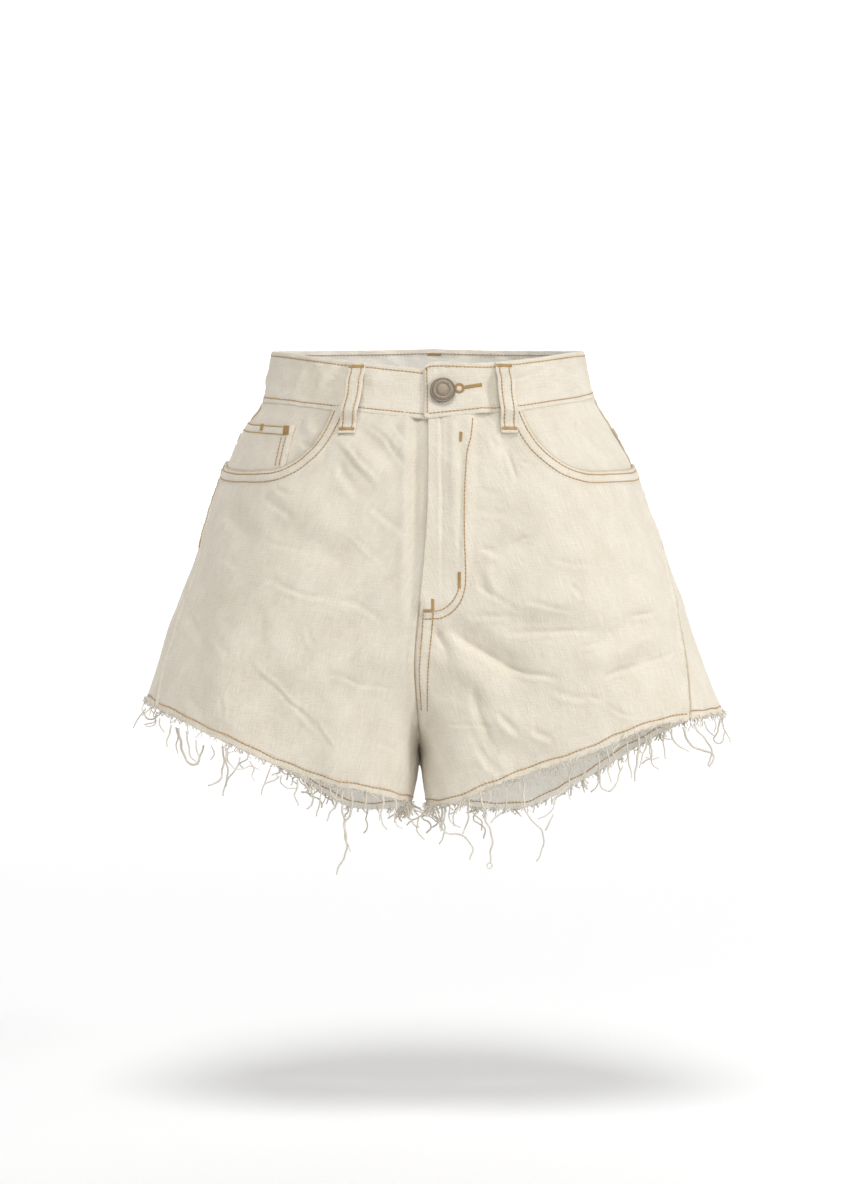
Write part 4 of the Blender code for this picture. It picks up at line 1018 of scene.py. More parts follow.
def add_coin_pocket():
    """A small patch on the right facing, its mouth and inner edge folded and double stitched."""
    share, rows = graded(64), graded(52)[:, None]
    edge = scoop_edge(RIGHT, np.linspace(0, 1, 200))
    inner_top, inner_bottom, side_p = coin_corners()
    bottom_p = mixed(inner_bottom, side_p, share)
    p = mixed(mixed(inner_top, side_p, share), bottom_p, rows)
    z = mixed(mixed(*COIN_TOP_Z, share), np.interp(bottom_p, *edge) - COIN_UNDER, rows)
    tuck = -COIN_PROUD * smooth_step((np.interp(p, *edge) - z + 1.5) / 2.5)
    seams = edges(p, z, top=COIN_MOUTH, first=COIN_EDGE)
    panel("coin_pocket", RIGHT, p, z, seams, COIN_PROUD - FACING_BEHIND, FLY_LAYER, tuck)


def pocket_places(side, share, rows):
    """(p, z) of points on a back pocket: share across, from the inner edge, and rows down."""
    top = POCKET_TOP_Z + POCKET_TILT * share
    bottom = top - POCKET_DEPTH - POCKET_POINT * (1 - np.abs(1 - 2 * share))
    lines = []
    for row in rows:
        z = POCKET_TOP_Z - POCKET_DEPTH * row
        start = p_at(side, BACK_FACE, side * mixed(*POCKET_INNER_X, row), z)
        places = np.linspace(start, 0.5, 200)
        walked = walked_length(form(side, places, z))
        lines.append(np.interp(share * mixed(*POCKET_WIDTH, row), walked, places))
    return np.array(lines), mixed(top, bottom, rows[:, None])


def add_back_pockets():
    for side in (RIGHT, LEFT):
        p, z = pocket_places(side, graded(78), graded(72))
        seams = edges(p, z, top=POCKET_MOUTH, first=POCKET_EDGE, last=POCKET_EDGE, bottom=POCKET_EDGE)
        panel(side_name("back_pocket", side), side, p, z, seams, PATCH_GAP + FLY_LAYER, FLY_LAYER)


def ring_at(x):
    """Ring place of a point near the front centre on the overlapping end."""
    side = RIGHT if x < CENTRE_FRONT(0) else LEFT
    return 2 - side * p_at(side, FRONT_FACE, x, BUTTON_Z)


BAND_RING = (ring_at(UNDER_END_X) - 2, ring_at(OVERLAP_END_X))  # from the under end to the buttoned end


def band_points(ring, share, out):
    """Waistband points: ring runs 0..1 round the right half, 1..2 back round the left half."""
    ring, share = np.broadcast_arrays(ring, share)
    on_left = ((ring > 1) & (ring < 2)) | (ring < 0)
    p = np.where(ring > 1, np.abs(2 - ring), np.abs(ring))
    start, full = ring_at(LAP_STARTS_X), ring_at(LAP_FULL_X)
    height = out + smooth_step((ring - start) / (full - start)) * (BAND_CLOTH + LAP_GAP)
    top = BAND_TOP(p) + OVERLAP_RISE * smooth_step((ring - start) / (2 - start))
    from_end = np.clip((BAND_RING[1] - ring) * HALF_GIRTH * 0.72, 0, BAND_CORNER)
    top = top - (BAND_CORNER - np.sqrt(BAND_CORNER ** 2 - (BAND_CORNER - from_end) ** 2))
    points = normals = 0
    for side, chosen in ((RIGHT, ~on_left[..., None]), (LEFT, on_left[..., None])):
        z = mixed(top, WAIST_SEAM[side](p) + SEAM_GAP / 2, share)
        normal = outward(side, p, z)
        points = np.where(chosen, form(side, p, z) + normal * height[..., None], points)
        normals = np.where(chosen, normal, normals)
    return points, normals


def add_waistband():
    ring = np.linspace(*BAND_RING, 420)
    ring = np.unique(np.concatenate([ring, mixed(ring[-1], ring[-8], graded(16))]))[None, :]
    share = graded(36, 0.45, 0.15)[:, None]
    base, normal = band_points(ring, share, BAND_PROUD)
    x, in_front, z = base[..., 0], base[..., 1] < 0, base[..., 2]
    own = unevenness(base, 26, 1.5, 21.0) + unevenness(base, 10, 1.15, 5.0)
    soft = mixed(own, panel_lumps(base, normal), smooth_step((share - 0.5) / 0.35))
    for wrinkle in BAND_WRINKLES:
        lean = np.array([math.cos(wrinkle.lean), math.sin(wrinkle.lean)])
        run = (x - wrinkle.x) * lean[0] + (z - wrinkle.z) * lean[1]
        off = (z - wrinkle.z) * lean[0] - (x - wrinkle.x) * lean[1]
        soft += wrinkle.height * bell(run / wrinkle.long) * bell(off / wrinkle.wide) * in_front
    by_button = smooth_step((LAP_STARTS_X - 8 - np.abs(x)) / 10) * in_front
    outer = base + normal * (soft * (1 - 0.8 * by_button))[..., None]
    places = np.linspace(0, 1, base.shape[1])
    lines = [(along_line(base[edge], places, np.linspace(0, 1, 3000)), BAND_EDGE) for edge in (0, -1)]
    detail, grooves = seams_relief(lines, base)
    face = outer + normal * detail[..., None]
    inner = outer - normal * (BAND_CLOTH - 0.5 * np.minimum(detail, 0))[..., None]
    height = np.linalg.norm(base[0] - base[-1], axis=-1)
    uv = np.stack(np.broadcast_arrays(share * height, walked_length(base[len(share) // 2])), axis=-1)
    add_shell("waistband", face, inner, uv, 1.0, 7, grooves)


def loop_centre(loop, share):
    """Points under a belt loop's middle line, their normals, how far it stands off, and half its width."""
    top_p = p_at(loop.side, loop.face, loop.top_x, 10)
    top_z = float(BAND_TOP(top_p)) - LOOP_BELOW_TOP
    bottom_z = top_z - LOOP_LENGTH
    p = mixed(top_p, p_at(loop.side, loop.face, loop.bottom_x, bottom_z), share)
    z = mixed(top_z, bottom_z, share)
    ground = BAND_PROUD * smooth_step((z - WAIST_SEAM[loop.side](p) + 9) / 6)
    arch = smooth_step((share - 0.1) / 0.2) * smooth_step((0.9 - share) / 0.2)
    base = form(loop.side, p, z)
    normal = outward(loop.side, p, z)
    base = base + normal * (fold_height(base, normal) + fly_lift(loop.side, base))[..., None]
    across = unit(np.cross(normal[len(share) // 2], [0, 0, 1])) * LOOP_WIDTH / 2
    return base, normal, ground + mixed(LOOP_GAP, LOOP_STANDS, arch), across


def add_belt_loops():
    share, width = graded(70, 0.5, 0.12), np.linspace(-1, 1, 21)
    for loop in BELT_LOOPS:
        base, normal, stand, across = loop_centre(loop, share)
        crown = 0.35 * (1 - width ** 2) - 0.35 * bell((np.abs(width) - 0.6) / 0.12)
        wave = 0.16 * np.sin(share * 47 + loop.top_x)[:, None] * np.cos(width * 5 + loop.bottom_x)
        tacked = 0.5 * bell((share - 0.045) / 0.022) + 0.5 * bell((share - 0.955) / 0.022)
        height = (stand + LOOP_CLOTH - 0.3 - tacked)[:, None] + crown + wave
        sway = 0.93 * (1 + 0.012 * np.sin(share * 21 + loop.top_x))[:, None]
        middle = base[:, None, :] + across * (width * sway)[..., None]
        outer = middle + normal[:, None, :] * height[..., None]
        inner = middle + normal[:, None, :] * (stand[:, None] + 0.1 * wave)[..., None]
        length = walked_length(outer[:, len(width) // 2])
        uv = np.stack(np.broadcast_arrays(width * LOOP_WIDTH / 2 + loop.top_x * 3, length[:, None]), axis=-1)
        add_shell(loop.name, outer, inner, uv, 0.8)


def add_fly():
    """The shield behind the fly, and the closed zip between it and the fly."""
    rows = graded(60)[:, None]
    waist_z = WAIST_SEAM[LEFT](0.0)
    behind = -(CLOTH + SEAM_GAP) - FLY_LIFT - 0.5
    shield_p = mixed(SEAM_STEP, SHIELD_P, graded(20)) * (1 - 0.35 * rows ** 2)
    zip_p = mixed(*ZIP_P, graded(16)) * (1 - 0.3 * rows ** 2)
    for name, p, top_z, bottom_z, out, thick in (
        ("fly_shield", shield_p, waist_z + TUCK, FLY_BOTTOM_Z + 8, behind, FLY_LAYER),
        ("zip", zip_p, waist_z - 1, FLY_BOTTOM_Z + 22, behind + SEAM_GAP + FLY_LAYER, 0.8),
    ):
        panel(name, LEFT, p, np.broadcast_to(mixed(top_z, bottom_z, rows), p.shape), [], out, thick)


# ---------------------------------------------------------------- top-stitching
THREAD_MESHES = []
STITCH = 2.65            # length of one visible stitch
STITCH_PITCH = 3.0
STITCH_RISE = 0.3        # its middle above its ends
STITCH_SINKS = 0.07      # its ends below the cloth's face
THREAD_RADIUS = 0.5
THREAD_SIDES = 5
EYE_STITCHES = 46        # round the buttonhole's eye
TACK_PITCH = 0.4         # between the threads of a bartack beside a seam or on a loop


def on_face(name, points, towards, inside=False, reach=40):
    """Points moved along a direction onto a piece's face, with the face's normals there."""
    tree = PIECES[name].inner_tree if inside else PIECES[name].tree
    ways = np.broadcast_to(towards, points.shape)
    found = []
    for spot, way in zip(points.reshape(-1, 3).tolist(), ways.reshape(-1, 3).tolist()):
        spot, way = Vector(spot), Vector(way)
        place, normal, _, _ = tree.ray_cast(spot - way * 16, way, reach)
        if place is None:
            place, normal, _, _ = tree.find_nearest(spot)
        found.append((place, -normal if normal.dot(way) > 0 else normal))
    found = np.array(found, float)
    return found[:, 0].reshape(points.shape), found[:, 1].reshape(points.shape)


def seen_from(face, flat, inside=False):
    """(x, z) places held before (-1) or behind (1) the garment, and the way from there onto a piece."""
    depth, way = (72.0, 1.0) if inside else (110.0, -1.0)
    start = np.stack([flat[..., 0], np.full(flat.shape[:-1], face * depth), flat[..., 1]], axis=-1)
    return start, (0.0, way * face, 0.0)


def offset(line, normals, distance):
    """A line moved sideways over the cloth; a negative distance moves it to its other side."""
    along = unit(np.gradient(line, axis=0))
    return line + np.cross(normals, along) * np.reshape(distance, (-1, 1))


def inner_side(name, line, normals, probe=12.0):
    """1 or -1: the side of a border line on which the piece lies."""
    tree = PIECES[name].tree
    misses = []
    for sign in (1, -1):
        spots = offset(line, normals, sign * probe)[::25]
        misses.append(sum(tree.find_nearest(Vector(spot))[3] for spot in spots.tolist()))
    return 1 if misses[0] < misses[1] else -1


def row_of_stitches(path, normals):
    """Short threads that dip into the cloth at both ends, along a path that lies on it."""
    walked = walked_length(path)
    count = int((walked[-1] - STITCH) / STITCH_PITCH) + 1
    if count < 1:
        return
    start = (walked[-1] - (count - 1) * STITCH_PITCH - STITCH) / 2
    shares = np.linspace(0, 1, 5)
    at = start + STITCH_PITCH * np.arange(count)[:, None] + STITCH * shares
    outs = unit(along_line(normals, walked, at))
    rise = STITCH_RISE * np.sin(shares * math.pi) ** 0.6 - STITCH_SINKS
    paths = along_line(path, walked, at) + outs * rise[:, None]
    THREAD_MESHES.append(thread_mesh(paths, outs, THREAD_RADIUS * np.array([0.6, 1, 1, 1, 0.6])))


def thread_mesh(paths, outs, radii):
    """(points, walls, caps) of many threads, each a path with its outward directions and radii."""
    number, steps = paths.shape[:2]
    along = unit(np.gradient(paths, axis=1))
    aside = unit(np.cross(along, outs))
    up = np.cross(aside, along)
    angles = 2 * math.pi * np.arange(THREAD_SIDES) / THREAD_SIDES
    radii = np.broadcast_to(radii, (number, steps))[:, :, None, None]
    ring = aside[:, :, None, :] * np.cos(angles)[:, None] + up[:, :, None, :] * np.sin(angles)[:, None]
    points = paths[:, :, None, :] + ring * radii
    grid = np.arange(number * steps * THREAD_SIDES).reshape(number, steps, THREAD_SIDES)
    after = np.roll(grid, -1, axis=2)
    walls = np.stack([grid[:, :-1], grid[:, 1:], after[:, 1:], after[:, :-1]], axis=-1).reshape(-1, 4)
    return points.reshape(-1, 3), walls, np.concatenate([grid[:, 0], grid[:, -1, ::-1]])


def joined_threads(name, meshes):
    points, walls, caps = [], [], []
    base = 0
    for spots, quads, ends in meshes:
        points.append(spots)
        walls += (quads + base).tolist()
        caps += (ends + base).tolist()
        base += len(spots)
    mesh = bpy.data.meshes.new(name)
    mesh.from_pydata((np.concatenate(points) * MM).tolist(), [], walls + caps)
    mesh.shade_smooth()
    return placed(name, mesh)


def even_line(line, step=0.6):
    walked = walked_length(line)
    return along_line(line, walked, np.linspace(0, walked[-1], max(int(walked[-1] / step), 4)))


def smooth_line(places, step):
    """Distances walked on a smooth line through (x, z) places, step by step, and its points there."""
    walked = walked_length(places)
    at = np.linspace(0, walked[-1], max(int(walked[-1] / step), 5))
    return at, np.stack([smooth_curve(walked, values)(at) for values in places.T], axis=-1)


def evened(line, span=9.0):
    """A line of even steps with the kinks shorter than the span taken out."""
    reach = int(span / 2 / (walked_length(line)[-1] / (len(line) - 1)))
    before = 2 * line[0] - line[reach:0:-1]
    after = 2 * line[-1] - line[-2:-reach - 2:-1]
    total = np.cumsum(np.concatenate([np.zeros((1, 3)), before, line, after]), axis=0)
    return (total[2 * reach + 1:] - total[:-2 * reach - 1]) / (2 * reach + 1)


def sew(name, side, p, z, distance, start=0.0, end=0.0, inside=False, wobble=0.12):
    """A row of stitches on a piece, beside a line of places, leaving out some mm at either end."""
    fine = finer_places(p, z, 600)
    line, normals = evened(form(side, *fine)), outward(side, *fine)
    walked = walked_length(line)
    sway = wobble * (np.sin(walked / 9.0) + np.sin(walked / 4.3 + 1.0) + np.sin(walked / 31.0))
    path = offset(line, normals, (distance + sway) * inner_side(name, line, normals))
    walked = walked_length(path)
    kept = (walked >= start) & (walked <= walked[-1] - end)
    both = even_line(np.concatenate([path, normals if inside else -normals], axis=1)[kept])
    row_of_stitches(*on_face(name, both[:, :3], unit(both[:, 3:]), inside))


def sew_seen(name, places):
    """A row of stitches along (x, z) places on the front of a piece."""
    _, flat = smooth_line(np.array(places, float), 0.6)
    row_of_stitches(*on_face(name, *seen_from(FRONT_FACE, flat)))


def satin(name, start, towards, inside=False, reach=40, height=0.34, margin=0.15, radius=0.3, stagger=0.0):
    """Threads side by side on a piece, from a grid of points with one row to a thread."""
    spots, normals = on_face(name, start, towards, inside, reach)
    sign = np.where(np.arange(len(start)) % 2, 1, -1)
    share = np.linspace(margin, 1 - margin, start.shape[1])
    rise = height * np.sin(share * math.pi) + stagger * sign[:, None]
    THREAD_MESHES.append(thread_mesh(spots + normals * rise[..., None], normals, radius))


def bartack(name, x1, z1, x2, z2, width=2.2, face=FRONT_FACE, inside=False):
    """A dense zigzag between two (x, z) places."""
    run = np.array([x2 - x1, z2 - z1])
    length = np.hypot(*run)
    along = run / length
    across = np.array([-along[1], along[0]]) * width / 2
    centre = np.array([x1, z1]) + run * np.linspace(0, 1, max(int(length / 0.42), 4))[:, None, None]
    flat = mixed(centre - across, centre + across + along * 0.2, np.linspace(0, 1, 5)[:, None])
    satin(name, *seen_from(face, flat, inside), inside, reach=130, stagger=0.12)


def dense_tack(name, start, end, normal, width=2.4):
    """A bartack between two points beside a piece's face."""
    run = end - start
    length = np.linalg.norm(run)
    up = np.cross(normal, run / length) * width
    share = np.linspace(0, 1, int(length / TACK_PITCH))[:, None, None]
    satin(name, start + run * share + up * np.linspace(-0.5, 0.5, 5)[:, None], -normal)


def sew_fronts():
    for side in (RIGHT, LEFT):
        name = side_name("front", side)
        for row in DOUBLE_ROW.rows:
            sew(name, side, *scoop_edge(side, np.linspace(0, 1, 300)), row)
        z = np.linspace(SCOOPS[side].end_z - 3, SIDE_STITCH_END, 60)
        sew(name, side, SIDE_P[side](z) - SEAM_STEP, z, 2.0)
        sew(name, side, *hem_bottom(side, FRONT_FACE), HEM_ROW.rows[0], 2, 2, wobble=0.42)
        seam_tack(side, SIDE_STITCH_END)
    seam_tack(LEFT, SIDE_TACK_Z)
    for places in (FLY_OUTER, FLY_INNER, CENTRE_LEFT, CENTRE_RIGHT):
        sew_seen("front_left", places)
    for tack in FRONT_TACKS:
        bartack(*tack)


def seam_tack(side, middle_z):
    """A bartack beside a side seam."""
    z = np.array([middle_z + 3, middle_z - 3])
    p = SIDE_P[side](z) - SEAM_STEP
    first, last = flat_form(side, to_flat(side, p, z) - 2.0, z)
    dense_tack(side_name("front", side), first, last, outward(side, p, z)[0], 1.7)


def hem_bottom(side, face, count=200):
    """(p, z) along the cut edge of a front or a back panel, from the inseam."""
    outline = front_outline if face == FRONT_FACE else back_outline
    p, z = outline(side, np.linspace(0, 1, count), np.array([0.0, 1.0]))
    return p[-1], z[-1]


def sew_backs():
    for side in (RIGHT, LEFT):
        back, yoke, pocket = (side_name(stem, side) for stem in ("back", "yoke", "back_pocket"))
        for inside in (False, True):
            sew(back, side, *hem_bottom(side, BACK_FACE), HEM_ROW.rows[0], 2, 2, inside, 0.42)
        p, z = back_outline(side, np.linspace(0, 1, 60), np.linspace(0, 1, 120))
        for row in FLAT_FELL.rows:
            sew(yoke, side, p[0], z[0] + SEAM_GAP, row)
        if side == LEFT:
            for row in FLAT_FELL.rows:
                sew(back, side, p[:, 0], z[:, 0], row, end=30)
        share = np.linspace(0, 1, 80)
        p, z = pocket_places(side, share, share)
        for row in POCKET_MOUTH.rows:
            sew(pocket, side, p[0], z[0], row, 1.5, 1.5)
        for row in POCKET_EDGE.rows:
            sew(pocket, side, p[:, 0], z[:, 0], row, 1.5, 2)
            sew(pocket, side, p[:, -1], z[:, -1], row, 1.5, 2)
            sew(pocket, side, p[-1], z[-1], row, row, row)


def sew_band(path, normals, inside):
    row_of_stitches(*on_face("waistband", path, normals if inside else -normals, inside))


def sew_waistband():
    """Stitches round both edges of the band, where they show on its outer and its inner face."""
    ring = np.linspace(*BAND_RING, 2400)
    middle, _ = band_points(ring, 0.5, BAND_PROUD)
    for inside in (False, True):
        covered = ring > ring_at(UNDER_END_X) - 0.002 if inside else ring < BAND_RING[1] - 2
        for edge in (0.0, 1.0):
            line, normals = band_points(ring, edge, BAND_PROUD)
            path = line + unit(middle - line) * BAND_EDGE.rows[0]
            walked = walked_length(path)
            kept = (walked > BAND_END_STITCH) & (walked < walked[-1] - BAND_END_STITCH) & ~covered
            sew_band(path[kept], normals[kept], inside)
        end, inset = (BAND_RING[0], BAND_END_STITCH) if inside else (BAND_RING[1], -BAND_END_STITCH)
        share = np.linspace(0.07, 0.93, 60)
        sew_band(*band_points(end + inset / HALF_GIRTH * 1.3, share, BAND_PROUD), inside)
    first_x, last_x = BACK_TACK_X
    z = float(BAND_TOP(1.0)) - 3.8
    bartack("waistband", first_x, z, last_x, z, 1.8, BACK_FACE, True)


def sew_loops():
    share = np.linspace(0.055, 0.945, 120)
    for loop in BELT_LOOPS:
        base, normal, stand, half_width = loop_centre(loop, share)
        for place in (-0.58, 0.58):
            line = base + normal * (stand + LOOP_CLOTH)[:, None] + half_width * place
            row_of_stitches(*on_face(loop.name, line, -normal))
        for place in (0.045, 0.955):
            centre, out, stand_here, _ = loop_centre(loop, np.array([place]))
            centre = centre[0] + out[0] * (stand_here[0] + LOOP_CLOTH)
            dense_tack(loop.name, centre - half_width * 0.9, centre + half_width * 0.9, out[0])


def sew_coin_pocket():
    share = np.linspace(0, 1, 60)
    inner_top, inner_bottom, side_p = coin_corners()
    for row in COIN_MOUTH.rows:
        sew("coin_pocket", RIGHT, mixed(inner_top, side_p, share), mixed(*COIN_TOP_Z, share), row, 4.0)
    edge_p = mixed(inner_top, inner_bottom, share)
    edge_z = mixed(COIN_TOP_Z[0], SCOOPS[RIGHT].lowest_z, share)
    for row in COIN_EDGE.rows:
        sew("coin_pocket", RIGHT, edge_p, edge_z, row, 8.5, 4.0)


def sew_buttonhole():
    """A keyhole buttonhole: a round eye by the button, and a bar of satin stitches behind it."""
    angle = 2 * math.pi * np.arange(EYE_STITCHES) / EYE_STITCHES
    spokes = np.stack([np.cos(angle), np.sin(angle)], axis=-1)[:, None]
    flat = np.array(EYE) + spokes * np.linspace(EYE_RADIUS, EYE_RADIUS + 1.9, 5)[:, None]
    satin("waistband", *seen_from(FRONT_FACE, flat), height=0.36, margin=0.1, radius=0.26)
    bartack("waistband", *EYE_TACK, 2.6)


# The loose strands seen on the front hems: half their thickness, then x and z of places down each.
STRANDS = (
    (0.65, -224.8, -256.6, -228.5, -262.3, -232.4, -267.3, -233.9, -272.1),
    (0.72, -227.9, -258.4, -226.3, -262, -222.1, -265.5, -217.6, -264.4, -216, -259.7),
    (0.72, -200.3, -267.5, -201, -273.6, -203.5, -279.1, -202.6, -284.4),
    (0.65, -196.2, -268.9, -194.9, -275, -196, -282.7, -195.1, -289.6),
    (1.09, -194.5, -269.6, -192.8, -279.5, -190.3, -290.2, -186.3, -296.2, -183.1, -298.1, -179.1, -296.1,
     -176.8, -289.9, -174.4, -282.9),
    (0.8, -188, -271.7, -186.3, -281.6, -184.7, -290.8, -180.7, -295.3),
    (0.72, -179.2, -278.4, -179.9, -284.6, -176.8, -291.4, -178.3, -297.6),
    (0.87, -159.5, -282.7, -158, -291.9, -159.1, -301.1, -161.1, -308.8, -166.6, -312, -170.5, -312.8),
    (0.87, -156.4, -284.2, -155.6, -294.9, -154.9, -304.9, -157.2, -313.4, -158.8, -321.1),
    (0.58, -154.8, -287.2, -154.1, -294.9, -149.5, -299.5, -144, -300.2, -137.9, -297.9, -131, -300.9),
    (0.65, -145.6, -291, -147.1, -297.9, -154.1, -307.2, -156.5, -313.4),
    (0.65, -122.5, -299.4, -124.1, -305.5, -126.8, -310.9, -127.9, -315.5, -129.5, -320.1),
    (0.58, -115.6, -305.5, -118.7, -308.6, -124.8, -310.9, -127.2, -312.4),
    (0.72, -101.1, -307.8, -101.9, -314.7, -103.4, -320.9, -100.4, -327.8),
    (0.58, -113.3, -304.7, -114.1, -310.9, -109.5, -314.7, -102.6, -314.7),
    (0.8, -96.5, -309.4, -92.7, -315.5, -88.9, -321.7, -90.4, -327, -94.3, -330.9),
    (0.72, -83.5, -314, -83.5, -321.7, -85.1, -328.6, -86.6, -336.3),
    (0.72, -71.3, -315.5, -72, -323.2, -72.8, -329.4, -76.6, -334, -79, -340.1),
    (0.8, -66.7, -317.1, -67.4, -325.6, -66.7, -334, -65.2, -342.5, -64.4, -351.8, -63.3, -361),
    (0.87, -59.8, -317.1, -59.8, -327.9, -61.3, -335.6, -65.2, -341, -65.2, -350.2, -63.7, -358.7, -65.2,
     -367.2, -69.1, -374.1, -71.8, -381),
    (0.51, -63.3, -357.9, -61.4, -361, -60.6, -364.1),
    (0.72, -35.4, -320.6, -36.1, -329.1, -37.7, -337.6, -36.2, -343.1, -33.1, -347.1),
    (0.65, -26.2, -322.6, -26.2, -332, -27, -338.9, -25.5, -344.5, -20.9, -346.6),
    (0.65, -17.1, -327.5, -17.8, -332.1, -16.3, -337.2, -20.1, -340.4),
    (0.72, -49.1, -316.5, -48.3, -322.7, -49.9, -328, -47.6, -332.7),
    (0.58, -90.4, -310.9, -93.5, -317, -97.3, -318.6),
    (0.65, -76.6, -314, -75.1, -320.1, -70.5, -323.2, -65.1, -324),
    (0.58, -137.9, -294, -134.8, -299.4, -136.4, -304.8, -134.1, -309.4),
    (0.58, -167.3, -282, -165.8, -288.9, -168.1, -293.6),
    (0.65, -209.7, -262.5, -209.5, -269.4, -206.1, -273.8),
    (0.87, 8.5, -328.2, 9.3, -335.2, 9.3, -342.2, 8.5, -349.3),
    (0.8, 11.6, -328, 11.6, -336.5, 9.3, -345.3, 13.1, -350.4, 22.3, -351.5, 29.2, -355.9, 33, -363.6,
     30.7, -370.6),
    (0.65, 16.2, -327.7, 14.6, -336.3, 17.7, -343.2, 23.8, -346),
    (0.8, 29.9, -323.5, 29.9, -331.9, 29.2, -339.7, 26.9, -346.7, 24.6, -350.6),
    (0.65, 23.8, -325.9, 20.8, -332.2, 17.7, -337.7, 18.5, -344.7),
    (0.87, 38.3, -321.8, 40.6, -327.9, 42.9, -333.3, 43, -340.2, 46, -346.4, 47.9, -355.6, 46.4, -364.9,
     46.4, -372.6),
    (0.58, 46.4, -372.6, 48.2, -374.1, 46.8, -376.9, 44.1, -376.5, 43.6, -374.2, 46.1, -372.6),
    (0.65, 59, -313.2, 58.2, -324, 56.7, -332.5, 51.4, -336.3, 46.8, -341.8),
    (0.72, 72, -307.8, 72, -320.1, 72.8, -330.1, 76.6, -337.8, 82, -343.2, 86.6, -349.4, 87, -357.8, 85.1,
     -364.8, 81.7, -370.9),
    (0.51, 68.2, -310.1, 69.7, -317.8, 71.3, -328.6),
    (0.58, 107.9, -294.7, 107.2, -304.7, 104.9, -314.7, 98.8, -320.1, 94.8, -323.2, 94.6, -328.6, 91.2,
     -334, 82.4, -338.2),
    (0.58, 88.2, -347.1, 91.2, -342.4, 94.3, -334.7),
    (0.65, 52.1, -316.3, 53.6, -321.7, 51.4, -326.3, 53.7, -330.2),
    (0.72, 128.7, -289.4, 129.5, -299.4, 130.3, -309.4, 132.6, -315.6, 138, -317.2, 142.6, -311.1, 144.9,
     -304.2, 147.2, -297.3),
    (0.72, 135.6, -285.6, 137.2, -294.9, 136.4, -302.5, 139.5, -310.3),
    (0.72, 151.1, -278.9, 151.9, -290.4, 153.4, -298.9, 155, -307.3),
    (1.01, 160.4, -275.9, 160.4, -285.9, 158.9, -295.9, 156.6, -309.7),
    (0.72, 165.9, -275.2, 165.9, -284.4, 162.8, -292.1, 161.2, -299.7),
    (0.65, 169.9, -273.8, 169.1, -284.5, 169.9, -293.7, 172.2, -298.4, 175.4, -300.7),
    (0.58, 165.9, -291.4, 170.6, -293, 176.2, -291.5),
    (0.72, 181, -271.7, 180.2, -281.6, 181.7, -293.2),
    (0.72, 186.6, -270.3, 187.4, -278.7, 192.2, -283.4, 199.4, -287.5),
    (1.01, 195.6, -269, 197.9, -275.9, 201.9, -283, 211, -287.2, 219.4, -290.6, 218.4, -295.9, 215.8, -299.7),
    (0.8, 204.7, -266.2, 207.9, -272.4, 214.5, -279.6, 218.6, -289.8, 215, -298.8),
    (0.72, 214.1, -265, 215.6, -271.3, 219, -274.5, 221.5, -276.9),
    (0.72, 228.8, -264.5, 227.2, -273.5, 224, -280.9, 227.5, -284.2, 230.3, -282.9, 233, -274),
    (0.65, 232.1, -264.1, 232.3, -270.9, 235.8, -277.4, 238.2, -283.7),
    (0.58, 117.9, -294, 119.5, -300.9, 115.7, -306.3),
    (0.58, 99.5, -299.4, 96.5, -304.7, 98.8, -310.9),
    (0.65, 144.1, -281.9, 140.2, -287.2, 142.6, -293.4),
)
STRANDS_PART_X = -8.0    # strands with smaller x hang from the right leg
STRANDS_LOWEST_Z = -386.0
TUFT_PITCH = 4.6
EDGE_YARNS = 260
BACK_STRANDS = 60


# ---------------------------------------------------------------- metal
BUTTON_PROFILE = (
    (0.0, 3.95), (1.4, 3.93), (2.8, 3.85), (3.9, 3.7), (4.5, 3.55), (4.8, 3.4), (5.1, 3.38), (5.4, 3.5),
    (5.8, 3.62), (6.3, 3.64), (6.8, 3.62), (7.3, 3.56), (7.8, 3.45), (8.2, 3.3), (8.5, 3.22), (8.8, 3.3),
    (9.05, 3.5), (9.4, 3.55), (9.7, 3.3), (9.85, 2.85), (9.75, 2.5), (9.3, 2.15), (8.0, 1.9),
    (2.4, 1.7), (2.4, -2.6), (0.0, -2.6),
)
BOSS_RADIUS = 6.8        # of the ring of bosses


def lathe(name, profile, turns):
    """A solid turned about z from (radius, height) points whose first and last lie on the axis."""
    angles = 2 * math.pi * np.arange(turns) / turns
    points = [(0, 0, profile[0][1])]
    for radius, height in profile[1:-1]:
        points += [(radius * math.cos(a), radius * math.sin(a), height) for a in angles]
    points.append((0, 0, profile[-1][1]))
    grid = 1 + np.arange(len(points) - 2).reshape(-1, turns)
    after = np.roll(grid, -1, axis=1)
    faces = np.stack([grid[:-1], grid[1:], after[1:], after[:-1]], axis=-1).reshape(-1, 4).tolist()
    faces += [(0, *pair) for pair in zip(grid[0].tolist(), after[0].tolist())]
    faces += [(*pair, len(points) - 1) for pair in zip(after[-1].tolist(), grid[-1].tolist())]
    mesh = bpy.data.meshes.new(name)
    mesh.from_pydata((np.array(points) * MM).tolist(), [], faces)
    mesh.shade_smooth()
    turn_faces_out(mesh)
    return placed(name + "_turned", mesh)


